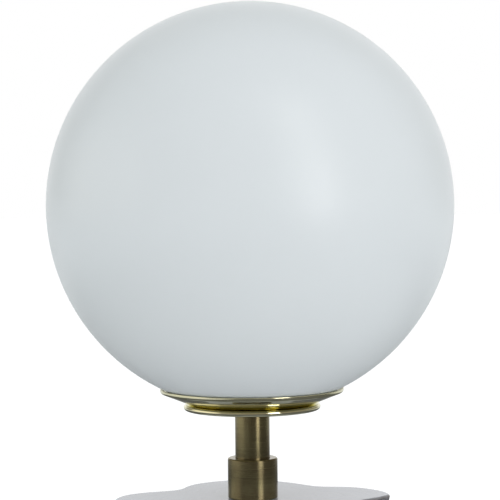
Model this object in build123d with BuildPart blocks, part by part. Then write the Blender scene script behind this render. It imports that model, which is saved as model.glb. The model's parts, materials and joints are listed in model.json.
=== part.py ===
from build123d import *
from math import cos, pi, radians, sin, sqrt, tan
import os

# Globe table lamp. Millimetres, +Z up. The origin is on the lamp's axis, on the surface that it stands on.
# The photographed side faces -Y, and the cord enters at the rear, +Y.

# ------------------------------------------------------------------ driving dimensions
# Glass globe
globe_radius = 100.0
glass_wall = 2.5
globe_opening_radius = 33.0
glass_edge_round = 0.8

# Gallery: plate, pan, seat ring
plate_radius = 33.8
plate_thickness = 2.8
plate_edge_flat = 0.1
pan_floor_radius = 30.4
pan_match_inset = 1.15
pan_lip_height = 1.8
pan_sheet = 0.8
pan_edge_round = 0.3
pan_rim_gap = 2.5
seat_mid_radius = 38.5
seat_width = 7.0
seat_thickness = 1.0
seat_clearance = 0.2

# Stem
stem_radius = 8.55
stem_wall = 1.2
stem_exposed = 24.0
stem_fit = 0.1
collar_radius = 12.3
collar_height = 20.0
collar_floor = 2.0
collar_edge = 0.4
bush_height = 6.0

# Hollow threaded rod and what screws on it
rod_radius = 5.0
rod_bore_radius = 3.75
rod_below_nut = 1.5
rod_in_holder = 6.5
rod_hole_clearance = 0.3
thread_clearance = 0.05
nut_across_flats = 14.0
nut_height = 4.0
base_washer_radius = 14.0
base_washer_thickness = 1.5
lock_washer_radius = 8.0
lock_washer_thickness = 1.6
lock_washer_gap = 1.6
gallery_washer_radius = 11.0
gallery_washer_thickness = 1.0

# Stone slab
slab_reach = 68.5
slab_thickness = 28.0
slab_top_round = 1.6
slab_bottom_round = 0.8
slab_roof = 8.0
recess_radius = 30.0

# Base cover, its screws and their inserts
cover_radius = 40.0
cover_thickness = 1.5
cover_clearance = 0.3
cover_screw_circle = 35.5
cover_screw_first_angle = 60.0
cover_screw_count = 3
cover_screw_radius = 1.45
cover_screw_length = 7.0
cover_screw_head_radius = 2.8
cover_screw_head_height = 1.4
cover_screw_slot = 0.7
cover_screw_hole_clearance = 0.25
insert_radius = 2.4
insert_length = 7.0

# Feet
foot_height = 2.5
foot_radius = 5.0
foot_taper = 0.8
foot_circle = 49.0
foot_count = 4
foot_first_angle = 8.0

# Cord gland in the rear wall
gland_height = 13.5
gland_seat_reach = 57.0
gland_inner_seat_reach = 31.0
gland_radius = 5.5
gland_bore_radius = 3.2
gland_hole_clearance = 0.2
gland_flange_radius = 8.0
gland_flange_thickness = 2.0
gland_inner_reach = 25.0
gland_pocket_radius = 8.8

# Terminal block
block_centre_x = 21.0
block_width = 12.0
block_length = 18.0
block_height = 10.0
block_pole_spacing = 6.0
block_screw_reach = 5.0
block_hole_radius = 1.3
block_screw_radius = 1.0
block_screw_head_radius = 1.6
block_screw_head_height = 1.2
block_screw_slot = 0.55
block_screw_clearance = 0.1
block_edge = 0.6

# Inner leads
lead_radius = 0.9
lead_offset = 1.2
lead_floor_clearance = 2.5
lead_flare_rise = 1.4
lead_gather_drop = 3.8
lead_end_gap = 0.1
live_out_y = -15.0
live_sweep_point = (10.0, -20.5, 11.0)
live_turn_y = -13.0
neutral_out_y = -14.0
neutral_sweep_point = (13.0, -24.5, 11.5)
neutral_turn_y = -18.0
arc_share_of_run = 0.45

# Spring clips that centre the globe
clip_count = 3
clip_first_angle = 90.0
clip_width = 6.0
clip_strip = 0.6
clip_foot_start = 14.5
clip_foot_end = 23.0
clip_tip_radius = 28.5
clip_rise = 14.0
clip_clearance = 0.3
clip_bend_radius = 1.2
rivet_circle = 18.5
rivet_radius = 1.5
rivet_head_radius = 2.6
rivet_head_height = 0.9
rivet_clearance = 0.05

# Lampholder
holder_radius = 19.0
holder_wall = 1.8
holder_floor = 3.0
holder_cap_height = 24.0
holder_ledge_radius = 15.0
holder_ledge_height = 17.5
holder_boss_radius = 8.5
holder_bottom_round = 3.0
holder_fit = 0.15
core_height = 10.5
core_sleeve_radius = 16.2
core_sleeve_height = 25.5
shell_overlap = 9.0
shell_waist_rise = 4.0
shell_neck_radius = 19.0
shell_lip_radius = 15.4
shell_lip_thickness = 2.0
shell_edge_round = 0.8
screw_shell_radius = 14.0
screw_shell_wall = 0.5
screw_shell_height = 24.0
screw_shell_flange_inner = 11.0
contact_strip = 0.5
contact_width = 4.0
contact_bend_radius = 0.45
contact_landing = 2.3
centre_contact_rise = 3.3
centre_contact_reach = 2.5
side_contact_reach = 13.5
contact_gap = 0.1
holder_pole_radius = 7.8
holder_lead_hole_clearance = 0.2
holder_lead_depth = 7.0
holder_screw_height = 4.0
holder_screw_radius = 1.25
holder_screw_head_radius = 2.2
holder_screw_head_height = 1.5
holder_screw_slot = 0.75
holder_screw_head_sunk = 0.6
holder_screw_clearance = 0.1

# Lamp bulb with a 27 mm screw cap
bulb_radius = 30.0
bulb_length = 108.0
bulb_wall = 1.5
bulb_joint_radius = 23.0
bulb_neck_radius = 13.6
bulb_cap_radius = 13.1
bulb_cap_wall = 0.6
bulb_cap_bottom = 4.5
bulb_cap_cone = 3.0
bulb_cap_top = 25.0
bulb_cap_mouth_radius = 9.5
bulb_plug_depth = 6.0
bulb_fit = 0.1
bulb_tip_radius = 4.0
bulb_tip_height = 1.2
board_thickness = 1.6
board_inset = 3.5
board_below_joint = 3.0

# ------------------------------------------------------------------ heights of the stack
slab_bottom_z = foot_height
slab_top_z = slab_bottom_z + slab_thickness
recess_top_z = slab_top_z - slab_roof
cover_top_z = slab_bottom_z + cover_thickness
base_washer_z = recess_top_z - base_washer_thickness
lock_washer_z = base_washer_z - lock_washer_thickness
base_nut_z = lock_washer_z - nut_height
rod_bottom_z = base_nut_z - rod_below_nut
collar_top_z = slab_top_z + collar_height
stem_bottom_z = slab_top_z + collar_floor
plate_bottom_z = collar_top_z + stem_exposed
plate_top_z = plate_bottom_z + plate_thickness
pan_floor_z = plate_top_z + pan_sheet
gallery_nut_z = pan_floor_z + gallery_washer_thickness
holder_bottom_z = gallery_nut_z + nut_height
rod_top_z = holder_bottom_z + rod_in_holder
core_bottom_z = holder_bottom_z + holder_ledge_height
core_top_z = core_bottom_z + core_height
screw_shell_z = core_top_z + contact_strip
bulb_z = core_top_z + centre_contact_rise + contact_gap
bulb_centre_z = bulb_z + bulb_length - bulb_radius

# The pan's lip stands clear of the seat ring. Its wall is a cone, parallel to the glass near the seat ring's
# middle, whose upper face lies higher than its lower one by the sheet's thickness along the axis
pan_rim_radius = seat_mid_radius + seat_width / 2 + pan_rim_gap + pan_sheet
pan_match_radius = seat_mid_radius - pan_match_inset
pan_slope = pan_match_radius / sqrt(globe_radius**2 - pan_match_radius**2)
pan_wall_rise = pan_sheet * sqrt(1 + pan_slope**2)
pan_brim_z = plate_top_z + pan_slope * (pan_rim_radius - pan_floor_radius)
pan_lip_z = pan_brim_z + pan_lip_height

# The globe rests on the seat ring, which lies on the pan's upper face
seat_face_z = plate_top_z + pan_slope * (seat_mid_radius - pan_floor_radius) + pan_wall_rise
globe_centre_z = seat_face_z + seat_thickness + seat_clearance + sqrt(globe_radius**2 - seat_mid_radius**2)
globe_inner_radius = globe_radius - glass_wall
opening_low_z = globe_centre_z - sqrt(globe_radius**2 - globe_opening_radius**2)
opening_high_z = globe_centre_z - sqrt(globe_inner_radius**2 - globe_opening_radius**2)

rod_hole_radius = rod_radius + rod_hole_clearance
rod_thread_radius = rod_radius + thread_clearance
turned = Plane.XZ


def pan_upper_z(radius):
    """Height of the pan's upper face on its conical wall."""
    return plate_top_z + pan_slope * (radius - pan_floor_radius) + pan_wall_rise


def polar(radius, angle):
    """A point on a circle about the lamp's axis, from its angle in degrees."""
    return (radius * cos(radians(angle)), radius * sin(radians(angle)))


def corner_radii(points):
    """Arc radii for a path's corners, each as large as its two runs allow."""
    radii = []
    for before, corner, after in zip(points, points[1:], points[2:]):
        run_in = Vector(*corner) - Vector(*before)
        run_out = Vector(*after) - Vector(*corner)
        half_turn = radians(run_in.get_angle(run_out)) / 2
        radii.append(arc_share_of_run * min(run_in.length, run_out.length) / tan(half_turn))
    return radii


os.makedirs("parts", exist_ok=True)

# ------------------------------------------------------------------ stone slab
# The natural outline, anticlockwise from the right: share of the reach, and angle in degrees
slab_outline = [
    (1.00, 6), (0.99, 13), (0.945, 22), (0.855, 33), (0.73, 43), (0.705, 51), (0.735, 61),
    (0.78, 71), (0.84, 82), (0.875, 95), (0.86, 108), (0.815, 121), (0.755, 131), (0.695, 142),
    (0.745, 152), (0.85, 160), (0.945, 168.5), (0.995, 180), (0.965, 199), (0.88, 218),
    (0.79, 232), (0.86, 247), (0.91, 263), (0.87, 277), (0.825, 290), (0.88, 304), (0.925, 322),
    (0.86, 335), (0.79, 345), (0.85, 353), (0.945, 0),
]
slab_points = [polar(slab_reach * share, angle) for share, angle in slab_outline]
cover_screw_angles = [
    cover_screw_first_angle + 360 * index / cover_screw_count for index in range(cover_screw_count)
]
cover_screw_places = [polar(cover_screw_circle, angle) for angle in cover_screw_angles]
gland_plane_rear = Plane(origin=(0, gland_seat_reach, gland_height), z_dir=(0, 1, 0))
gland_plane_inner = Plane(origin=(0, gland_inner_seat_reach, gland_height), z_dir=(0, -1, 0))

with BuildPart() as stone_slab:
    with BuildSketch(Plane.XY.offset(slab_bottom_z)):
        with BuildLine():
            Spline(*slab_points, periodic=True)
        make_face()
    extrude(amount=slab_thickness)
    fillet(stone_slab.faces().sort_by(Axis.Z)[-1].edges(), radius=slab_top_round)
    fillet(stone_slab.faces().sort_by(Axis.Z)[0].edges(), radius=slab_bottom_round)
    # Wiring recess, cover rebate and rod hole
    with BuildSketch(Plane.XY.offset(slab_bottom_z)):
        Circle(recess_radius)
    extrude(amount=recess_top_z - slab_bottom_z, mode=Mode.SUBTRACT)
    with BuildSketch(Plane.XY.offset(slab_bottom_z)):
        Circle(cover_radius + cover_clearance)
    extrude(amount=cover_thickness, mode=Mode.SUBTRACT)
    with BuildSketch(Plane.XY.offset(recess_top_z)):
        Circle(rod_hole_radius)
    extrude(amount=slab_roof, mode=Mode.SUBTRACT)
    # Holes for the cover's threaded inserts
    with BuildSketch(Plane.XY.offset(cover_top_z)):
        with Locations(*cover_screw_places):
            Circle(insert_radius)
    extrude(amount=insert_length, mode=Mode.SUBTRACT)
    # Gland hole through the rear wall, with a flat pocket at each end
    with BuildSketch(gland_plane_inner):
        Circle(gland_pocket_radius)
    extrude(amount=gland_inner_seat_reach - gland_inner_reach, mode=Mode.SUBTRACT)
    with BuildSketch(gland_plane_rear):
        Circle(gland_pocket_radius)
    extrude(amount=slab_reach - gland_seat_reach, mode=Mode.SUBTRACT)
    with BuildSketch(gland_plane_rear):
        Circle(gland_radius + gland_hole_clearance)
    extrude(amount=-(gland_seat_reach - gland_inner_seat_reach), mode=Mode.SUBTRACT)
stone_slab.part.label = "stone_slab"
export_step(stone_slab.part, "parts/stone_slab.step")

# ------------------------------------------------------------------ rubber feet
for index in range(foot_count):
    foot_x, foot_y = polar(foot_circle, foot_first_angle + 360 * index / foot_count)
    with BuildPart() as rubber_foot:
        with BuildSketch(Plane(origin=(foot_x, foot_y, 0))):
            Circle(foot_radius - foot_taper)
        with BuildSketch(Plane(origin=(foot_x, foot_y, foot_height))):
            Circle(foot_radius)
        loft()
    rubber_foot.part.label = f"rubber_foot_{index + 1}"
    export_step(rubber_foot.part, f"parts/rubber_foot_{index + 1}.step")

# ------------------------------------------------------------------ base cover, inserts, screws
with BuildPart() as cover_inserts:
    with BuildSketch(Plane.XY.offset(cover_top_z)):
        with Locations(*cover_screw_places):
            Circle(insert_radius)
            Circle(cover_screw_radius + thread_clearance, mode=Mode.SUBTRACT)
    extrude(amount=insert_length)
cover_inserts.part.label = "cover_inserts"
export_step(cover_inserts.part, "parts/cover_inserts.step")

with BuildPart() as base_cover:
    with BuildSketch(Plane.XY.offset(slab_bottom_z)):
        Circle(cover_radius)
        with Locations(*cover_screw_places):
            Circle(cover_screw_radius + cover_screw_hole_clearance, mode=Mode.SUBTRACT)
    extrude(amount=cover_thickness)
base_cover.part.label = "base_cover"
export_step(base_cover.part, "parts/base_cover.step")

with BuildPart() as base_cover_screws:
    with BuildSketch(Plane.XY.offset(slab_bottom_z)):
        with Locations(*cover_screw_places):
            Circle(cover_screw_radius)
    extrude(amount=cover_screw_length)
    with BuildSketch(Plane.XY.offset(slab_bottom_z)):
        with Locations(*cover_screw_places):
            Circle(cover_screw_head_radius)
    extrude(amount=-cover_screw_head_height)
    # Crossed drive recess
    with BuildSketch(Plane.XY.offset(slab_bottom_z - cover_screw_head_height)):
        with Locations(*cover_screw_places):
            Rectangle(cover_screw_head_radius, cover_screw_slot)
            Rectangle(cover_screw_slot, cover_screw_head_radius)
    extrude(amount=cover_screw_head_height / 2, mode=Mode.SUBTRACT)
base_cover_screws.part.label = "base_cover_screws"
export_step(base_cover_screws.part, "parts/base_cover_screws.step")

# ------------------------------------------------------------------ cord gland and its nut
with BuildPart() as cord_gland:
    with BuildSketch(gland_plane_rear):
        Circle(gland_radius)
    extrude(amount=-(gland_seat_reach - gland_inner_reach))
    with BuildSketch(gland_plane_rear):
        Circle(gland_flange_radius)
    extrude(amount=gland_flange_thickness)
    fillet(cord_gland.faces().sort_by(Axis.Y)[-1].edges(), radius=gland_flange_thickness / 2)
    with BuildSketch(gland_plane_rear.offset(gland_flange_thickness)):
        Circle(gland_bore_radius)
    extrude(amount=-(gland_seat_reach - gland_inner_reach + gland_flange_thickness), mode=Mode.SUBTRACT)
cord_gland.part.label = "cord_gland"
export_step(cord_gland.part, "parts/cord_gland.step")

with BuildPart() as gland_nut:
    with BuildSketch(gland_plane_inner):
        RegularPolygon(nut_across_flats / 2, side_count=6, major_radius=False)
        Circle(gland_radius + thread_clearance, mode=Mode.SUBTRACT)
    extrude(amount=nut_height)
gland_nut.part.label = "gland_nut"
export_step(gland_nut.part, "parts/gland_nut.step")

# ------------------------------------------------------------------ terminal block in the recess
block_bottom_z = recess_top_z - block_height
block_hole_z = recess_top_z - block_height / 2
block_screw_places = [
    (block_centre_x + side_x * block_pole_spacing / 2, side_y * block_screw_reach)
    for side_x in (-1, 1)
    for side_y in (-1, 1)
]
block_face = (block_centre_x, -block_length / 2, block_hole_z)
block_hole_plane = Plane(origin=block_face, x_dir=(1, 0, 0), z_dir=(0, -1, 0))

with BuildPart() as terminal_block:
    with BuildSketch(Plane(origin=(block_centre_x, 0, block_bottom_z))):
        Rectangle(block_width, block_length)
    extrude(amount=block_height)
    fillet(terminal_block.edges().filter_by(Axis.Z), radius=block_edge)
    with BuildSketch(block_hole_plane):
        with GridLocations(block_pole_spacing, 0, 2, 1):
            Circle(block_hole_radius)
    extrude(amount=-block_length, mode=Mode.SUBTRACT)
    with BuildSketch(Plane.XY.offset(block_bottom_z)):
        with Locations(*block_screw_places):
            Circle(block_screw_radius + block_screw_clearance)
    extrude(amount=block_height / 2, mode=Mode.SUBTRACT)
    with BuildSketch(Plane.XY.offset(block_bottom_z)):
        with Locations(*block_screw_places):
            Circle(block_screw_head_radius + block_screw_clearance)
    extrude(amount=block_screw_head_height, mode=Mode.SUBTRACT)
terminal_block.part.label = "terminal_block"
export_step(terminal_block.part, "parts/terminal_block.step")

with BuildPart() as terminal_block_screws:
    with BuildSketch(Plane.XY.offset(block_bottom_z)):
        with Locations(*block_screw_places):
            Circle(block_screw_radius)
    extrude(amount=block_height / 2 - lead_radius)
    with BuildSketch(Plane.XY.offset(block_bottom_z)):
        with Locations(*block_screw_places):
            Circle(block_screw_head_radius)
    extrude(amount=block_screw_head_height)
    with BuildSketch(Plane.XY.offset(block_bottom_z)):
        with Locations(*block_screw_places):
            Rectangle(2 * block_screw_head_radius, block_screw_slot)
    extrude(amount=block_screw_head_height / 2, mode=Mode.SUBTRACT)
terminal_block_screws.part.label = "terminal_block_screws"
export_step(terminal_block_screws.part, "parts/terminal_block_screws.step")

# ------------------------------------------------------------------ rod, washers and nuts
with BuildPart() as threaded_rod:
    with BuildSketch(Plane.XY.offset(rod_bottom_z)):
        Circle(rod_radius)
        Circle(rod_bore_radius, mode=Mode.SUBTRACT)
    extrude(amount=rod_top_z - rod_bottom_z)
threaded_rod.part.label = "threaded_rod"
export_step(threaded_rod.part, "parts/threaded_rod.step")

with BuildPart() as base_washer:
    with BuildSketch(Plane.XY.offset(base_washer_z)):
        Circle(base_washer_radius)
        Circle(rod_hole_radius, mode=Mode.SUBTRACT)
    extrude(amount=base_washer_thickness)
base_washer.part.label = "base_washer"
export_step(base_washer.part, "parts/base_washer.step")

with BuildPart() as lock_washer:
    with BuildSketch(Plane.XY.offset(lock_washer_z)):
        Circle(lock_washer_radius)
        Circle(rod_hole_radius, mode=Mode.SUBTRACT)
        with Locations((lock_washer_radius, 0)):
            Rectangle(2 * (lock_washer_radius - rod_radius), lock_washer_gap, mode=Mode.SUBTRACT)
    extrude(amount=lock_washer_thickness)
lock_washer.part.label = "lock_washer"
export_step(lock_washer.part, "parts/lock_washer.step")

with BuildPart() as base_nut:
    with BuildSketch(Plane.XY.offset(base_nut_z)):
        RegularPolygon(nut_across_flats / 2, side_count=6, major_radius=False)
        Circle(rod_thread_radius, mode=Mode.SUBTRACT)
    extrude(amount=nut_height)
base_nut.part.label = "base_nut"
export_step(base_nut.part, "parts/base_nut.step")

with BuildPart() as gallery_washer:
    with BuildSketch(Plane.XY.offset(pan_floor_z)):
        Circle(gallery_washer_radius)
        Circle(rod_hole_radius, mode=Mode.SUBTRACT)
    extrude(amount=gallery_washer_thickness)
gallery_washer.part.label = "gallery_washer"
export_step(gallery_washer.part, "parts/gallery_washer.step")

with BuildPart() as gallery_nut:
    with BuildSketch(Plane.XY.offset(gallery_nut_z)):
        RegularPolygon(nut_across_flats / 2, side_count=6, major_radius=False)
        Circle(rod_thread_radius, mode=Mode.SUBTRACT)
    extrude(amount=nut_height)
gallery_nut.part.label = "gallery_nut"
export_step(gallery_nut.part, "parts/gallery_nut.step")

# ------------------------------------------------------------------ collar, stem tube, bushes
collar_bore_radius = stem_radius + stem_fit
with BuildPart() as collar_sleeve:
    with BuildSketch(Plane.XY.offset(slab_top_z)):
        Circle(collar_radius)
    extrude(amount=collar_height)
    with BuildSketch(Plane.XY.offset(stem_bottom_z)):
        Circle(collar_bore_radius)
    extrude(amount=collar_height - collar_floor, mode=Mode.SUBTRACT)
    chamfer(collar_sleeve.faces().sort_by(Axis.Z)[-1].outer_wire().edges(), length=collar_edge)
    with BuildSketch(Plane.XY.offset(slab_top_z)):
        Circle(rod_hole_radius)
    extrude(amount=collar_floor, mode=Mode.SUBTRACT)
collar_sleeve.part.label = "collar_sleeve"
export_step(collar_sleeve.part, "parts/collar_sleeve.step")

with BuildPart() as stem_tube:
    with BuildSketch(Plane.XY.offset(stem_bottom_z)):
        Circle(stem_radius)
        Circle(stem_radius - stem_wall, mode=Mode.SUBTRACT)
    extrude(amount=plate_bottom_z - stem_bottom_z)
stem_tube.part.label = "stem_tube"
export_step(stem_tube.part, "parts/stem_tube.step")

for bush_name, bush_z in (
    ("stem_bush_lower", stem_bottom_z),
    ("stem_bush_upper", plate_bottom_z - bush_height),
):
    with BuildPart() as stem_bush:
        with BuildSketch(Plane.XY.offset(bush_z)):
            Circle(stem_radius - stem_wall - stem_fit)
            Circle(rod_hole_radius, mode=Mode.SUBTRACT)
        extrude(amount=bush_height)
    stem_bush.part.label = bush_name
    export_step(stem_bush.part, f"parts/{bush_name}.step")

# ------------------------------------------------------------------ gallery plate, pan, seat ring
clip_angles = [clip_first_angle + 360 * index / clip_count for index in range(clip_count)]
rivet_places = [polar(rivet_circle, angle) for angle in clip_angles]
rivet_hole_radius = rivet_radius + rivet_clearance

with BuildPart() as gallery_plate:
    with BuildSketch(Plane.XY.offset(plate_bottom_z)):
        Circle(plate_radius)
        Circle(rod_hole_radius, mode=Mode.SUBTRACT)
        with Locations(*rivet_places):
            Circle(rivet_hole_radius, mode=Mode.SUBTRACT)
    extrude(amount=plate_thickness)
    plate_rim = gallery_plate.edges().filter_by(GeomType.CIRCLE).group_by(SortBy.RADIUS)[-1]
    fillet(plate_rim, radius=(plate_thickness - plate_edge_flat) / 2)
gallery_plate.part.label = "gallery_plate"
export_step(gallery_plate.part, "parts/gallery_plate.step")

# The sheet keeps one thickness round its floor, its conical wall and its upright lip
inner_floor_corner = pan_floor_radius - (pan_wall_rise - pan_sheet) / pan_slope
inner_lip_corner_z = pan_upper_z(pan_rim_radius - pan_sheet)
pan_profile = [
    (rod_hole_radius, plate_top_z),
    (pan_floor_radius, plate_top_z),
    (pan_rim_radius, pan_brim_z),
    (pan_rim_radius, pan_lip_z),
    (pan_rim_radius - pan_sheet, pan_lip_z),
    (pan_rim_radius - pan_sheet, inner_lip_corner_z),
    (inner_floor_corner, pan_floor_z),
    (rod_hole_radius, pan_floor_z),
]
with BuildPart() as gallery_pan:
    with BuildSketch(turned):
        with BuildLine():
            Polyline(*pan_profile, close=True)
        make_face()
    revolve(axis=Axis.Z)
    pan_top_edges = gallery_pan.faces().filter_by(GeomType.PLANE).sort_by(Axis.Z)[-1].edges()
    fillet(pan_top_edges, radius=pan_edge_round)
    pan_brim_edges = gallery_pan.edges().filter_by(GeomType.CIRCLE)
    fillet(pan_brim_edges.filter_by_position(Axis.Z, pan_brim_z, pan_brim_z), radius=pan_edge_round)
    with BuildSketch(Plane.XY.offset(plate_top_z)):
        with Locations(*rivet_places):
            Circle(rivet_hole_radius)
    extrude(amount=pan_sheet, mode=Mode.SUBTRACT)
gallery_pan.part.label = "gallery_pan"
export_step(gallery_pan.part, "parts/gallery_pan.step")

# The ring's upper face follows the glass, its lower face the pan's cone
seat_inner_radius = seat_mid_radius - seat_width / 2
seat_outer_radius = seat_mid_radius + seat_width / 2
seat_sphere_radius = globe_radius + seat_clearance


def seat_upper_z(radius):
    """Height of the seat ring's upper face, concentric with the globe."""
    return globe_centre_z - sqrt(seat_sphere_radius**2 - radius**2)


with BuildPart() as globe_seat_ring:
    with BuildSketch(turned):
        with BuildLine():
            inner_low = (seat_inner_radius, pan_upper_z(seat_inner_radius))
            outer_low = (seat_outer_radius, pan_upper_z(seat_outer_radius))
            inner_high = (seat_inner_radius, seat_upper_z(seat_inner_radius))
            middle_high = (seat_mid_radius, seat_upper_z(seat_mid_radius))
            outer_high = (seat_outer_radius, seat_upper_z(seat_outer_radius))
            Polyline(inner_high, inner_low, outer_low, outer_high)
            ThreePointArc(outer_high, middle_high, inner_high)
        make_face()
    revolve(axis=Axis.Z)
globe_seat_ring.part.label = "globe_seat_ring"
export_step(globe_seat_ring.part, "parts/globe_seat_ring.step")

# ------------------------------------------------------------------ spring clips and rivets
clip_foot_z = pan_floor_z + clip_strip / 2
clip_bump_radius = globe_opening_radius - clip_clearance - clip_strip / 2
clip_bump_z = (opening_low_z + opening_high_z) / 2
clip_path = [
    (clip_foot_start, clip_foot_z),
    (clip_foot_end, clip_foot_z),
    (clip_bump_radius, clip_bump_z),
    (clip_tip_radius, clip_foot_z + clip_rise),
]
for index, angle in enumerate(clip_angles, start=1):
    clip_x, clip_y = polar(1, angle)
    clip_plane = Plane(origin=(0, 0, 0), x_dir=(clip_x, clip_y, 0), z_dir=(clip_y, -clip_x, 0))
    with BuildPart() as spring_clip:
        with BuildSketch(clip_plane):
            with BuildLine():
                FilletPolyline(*clip_path, radius=clip_bend_radius)
            trace(line_width=clip_strip)
        extrude(amount=clip_width / 2, both=True)
        with BuildSketch(Plane(origin=(rivet_circle * clip_x, rivet_circle * clip_y, pan_floor_z))):
            Circle(rivet_hole_radius)
        extrude(amount=clip_strip, mode=Mode.SUBTRACT)
    spring_clip.part.label = f"spring_clip_{index}"
    export_step(spring_clip.part, f"parts/spring_clip_{index}.step")

with BuildPart() as clip_rivets:
    with BuildSketch(Plane.XY.offset(plate_bottom_z)):
        with Locations(*rivet_places):
            Circle(rivet_radius)
    extrude(amount=plate_thickness + pan_sheet + clip_strip)
    with BuildSketch(Plane.XY.offset(pan_floor_z + clip_strip)):
        with Locations(*rivet_places):
            Circle(rivet_head_radius)
    extrude(amount=rivet_head_height)
    fillet(clip_rivets.faces().group_by(Axis.Z)[-1].edges(), radius=rivet_head_height / 2)
clip_rivets.part.label = "clip_rivets"
export_step(clip_rivets.part, "parts/clip_rivets.step")

# ------------------------------------------------------------------ lampholder
holder_cap_top_z = holder_bottom_z + holder_cap_height
holder_cap_profile = [
    (rod_thread_radius, holder_bottom_z),
    (holder_radius, holder_bottom_z),
    (holder_radius, holder_cap_top_z),
    (holder_radius - holder_wall, holder_cap_top_z),
    (holder_radius - holder_wall, core_bottom_z),
    (holder_ledge_radius, core_bottom_z),
    (holder_ledge_radius, holder_bottom_z + holder_floor),
    (holder_boss_radius, holder_bottom_z + holder_floor),
    (holder_boss_radius, rod_top_z),
    (rod_thread_radius, rod_top_z),
]
with BuildPart() as holder_cap:
    with BuildSketch(turned):
        with BuildLine():
            Polyline(*holder_cap_profile, close=True)
        make_face()
    revolve(axis=Axis.Z)
    fillet(holder_cap.faces().sort_by(Axis.Z)[0].outer_wire().edges(), radius=holder_bottom_round)
holder_cap.part.label = "holder_cap"
export_step(holder_cap.part, "parts/holder_cap.step")

# Core: a ceramic plug with a sleeve round the screw shell, and one pole on each side
core_radius = holder_radius - holder_wall - holder_fit
core_sleeve_bore = screw_shell_radius + holder_fit
pole_leg_inner = holder_pole_radius + lead_radius + contact_gap
pole_leg_outer = pole_leg_inner + contact_strip
lead_hole_radius = lead_radius + holder_lead_hole_clearance
leg_slot_inner = pole_leg_inner - holder_lead_hole_clearance
leg_slot_outer = pole_leg_outer + contact_gap
terminal_z = core_bottom_z + holder_screw_height
head_seat_reach = core_radius - holder_screw_head_sunk - holder_screw_head_height
pole_sides = (1, -1)

with BuildPart() as holder_core:
    with BuildSketch(Plane.XY.offset(core_bottom_z)):
        Circle(core_radius)
    extrude(amount=core_height)
    with BuildSketch(Plane.XY.offset(core_top_z)):
        Circle(core_sleeve_radius)
        Circle(core_sleeve_bore, mode=Mode.SUBTRACT)
    extrude(amount=core_sleeve_height)
    for side in pole_sides:
        with BuildSketch(Plane.XY.offset(core_bottom_z)):
            with Locations((side * holder_pole_radius, 0)):
                Circle(lead_hole_radius)
        extrude(amount=holder_lead_depth, mode=Mode.SUBTRACT)
        with BuildSketch(Plane.XY.offset(core_bottom_z)):
            with Locations((side * (leg_slot_inner + leg_slot_outer) / 2, 0)):
                Rectangle(leg_slot_outer - leg_slot_inner, contact_width + 2 * contact_gap)
        extrude(amount=core_height, mode=Mode.SUBTRACT)
        with BuildSketch(Plane(origin=(side * leg_slot_outer, 0, terminal_z), z_dir=(side, 0, 0))):
            Circle(holder_screw_radius + holder_screw_clearance)
        extrude(amount=core_radius - leg_slot_outer, mode=Mode.SUBTRACT)
        with BuildSketch(Plane(origin=(side * head_seat_reach, 0, terminal_z), z_dir=(side, 0, 0))):
            Circle(holder_screw_head_radius + holder_screw_clearance)
        extrude(amount=core_radius - head_seat_reach, mode=Mode.SUBTRACT)
holder_core.part.label = "holder_core"
export_step(holder_core.part, "parts/holder_core.step")

shell_bottom_z = holder_cap_top_z - shell_overlap
shell_skirt_bore = holder_radius + holder_fit
shell_skirt_radius = shell_skirt_bore + holder_wall
shell_shoulder_z = max(holder_cap_top_z, core_top_z - shell_waist_rise) + holder_fit
shell_neck_bore = shell_neck_radius - holder_wall
shell_lip_z = core_top_z + core_sleeve_height + holder_fit
shell_top_z = shell_lip_z + shell_lip_thickness
holder_shell_profile = [
    (shell_skirt_bore, shell_bottom_z),
    (shell_skirt_radius, shell_bottom_z),
    (shell_skirt_radius, shell_shoulder_z + holder_wall),
    (shell_neck_radius, shell_shoulder_z + holder_wall + shell_waist_rise),
    (shell_neck_radius, shell_top_z),
    (shell_lip_radius, shell_top_z),
    (shell_lip_radius, shell_lip_z),
    (shell_neck_bore, shell_lip_z),
    (shell_neck_bore, shell_shoulder_z + shell_waist_rise / 2),
    (shell_skirt_bore, shell_shoulder_z),
]
with BuildPart() as holder_shell:
    with BuildSketch(turned):
        with BuildLine():
            Polyline(*holder_shell_profile, close=True)
        make_face()
    revolve(axis=Axis.Z)
    fillet(holder_shell.faces().sort_by(Axis.Z)[-1].edges(), radius=shell_edge_round)
holder_shell.part.label = "holder_shell"
export_step(holder_shell.part, "parts/holder_shell.step")

screw_shell_profile = [
    (screw_shell_flange_inner, screw_shell_z),
    (screw_shell_radius, screw_shell_z),
    (screw_shell_radius, screw_shell_z + screw_shell_height),
    (screw_shell_radius - screw_shell_wall, screw_shell_z + screw_shell_height),
    (screw_shell_radius - screw_shell_wall, screw_shell_z + screw_shell_wall),
    (screw_shell_flange_inner, screw_shell_z + screw_shell_wall),
]
with BuildPart() as screw_shell:
    with BuildSketch(turned):
        with BuildLine():
            Polyline(*screw_shell_profile, close=True)
        make_face()
    revolve(axis=Axis.Z)
screw_shell.part.label = "screw_shell"
export_step(screw_shell.part, "parts/screw_shell.step")

# Contacts: bent strips, each with a leg in its slot beside the lead
leg_x = (pole_leg_inner + pole_leg_outer) / 2
leg_low_z = core_bottom_z + holder_screw_height - holder_screw_radius - contact_gap
strip_rest_z = core_top_z + contact_strip / 2
centre_contact_path = [
    (leg_x, leg_low_z),
    (leg_x, strip_rest_z),
    (leg_x - contact_landing, strip_rest_z),
    (centre_contact_reach, bulb_z - contact_gap - contact_strip / 2),
    (-centre_contact_reach, bulb_z - contact_gap - contact_strip / 2),
]
with BuildPart() as centre_contact:
    with BuildSketch(turned):
        with BuildLine():
            FilletPolyline(*centre_contact_path, radius=contact_bend_radius)
        trace(line_width=contact_strip)
    extrude(amount=contact_width / 2, both=True)
centre_contact.part.label = "centre_contact"
export_step(centre_contact.part, "parts/centre_contact.step")

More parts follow.
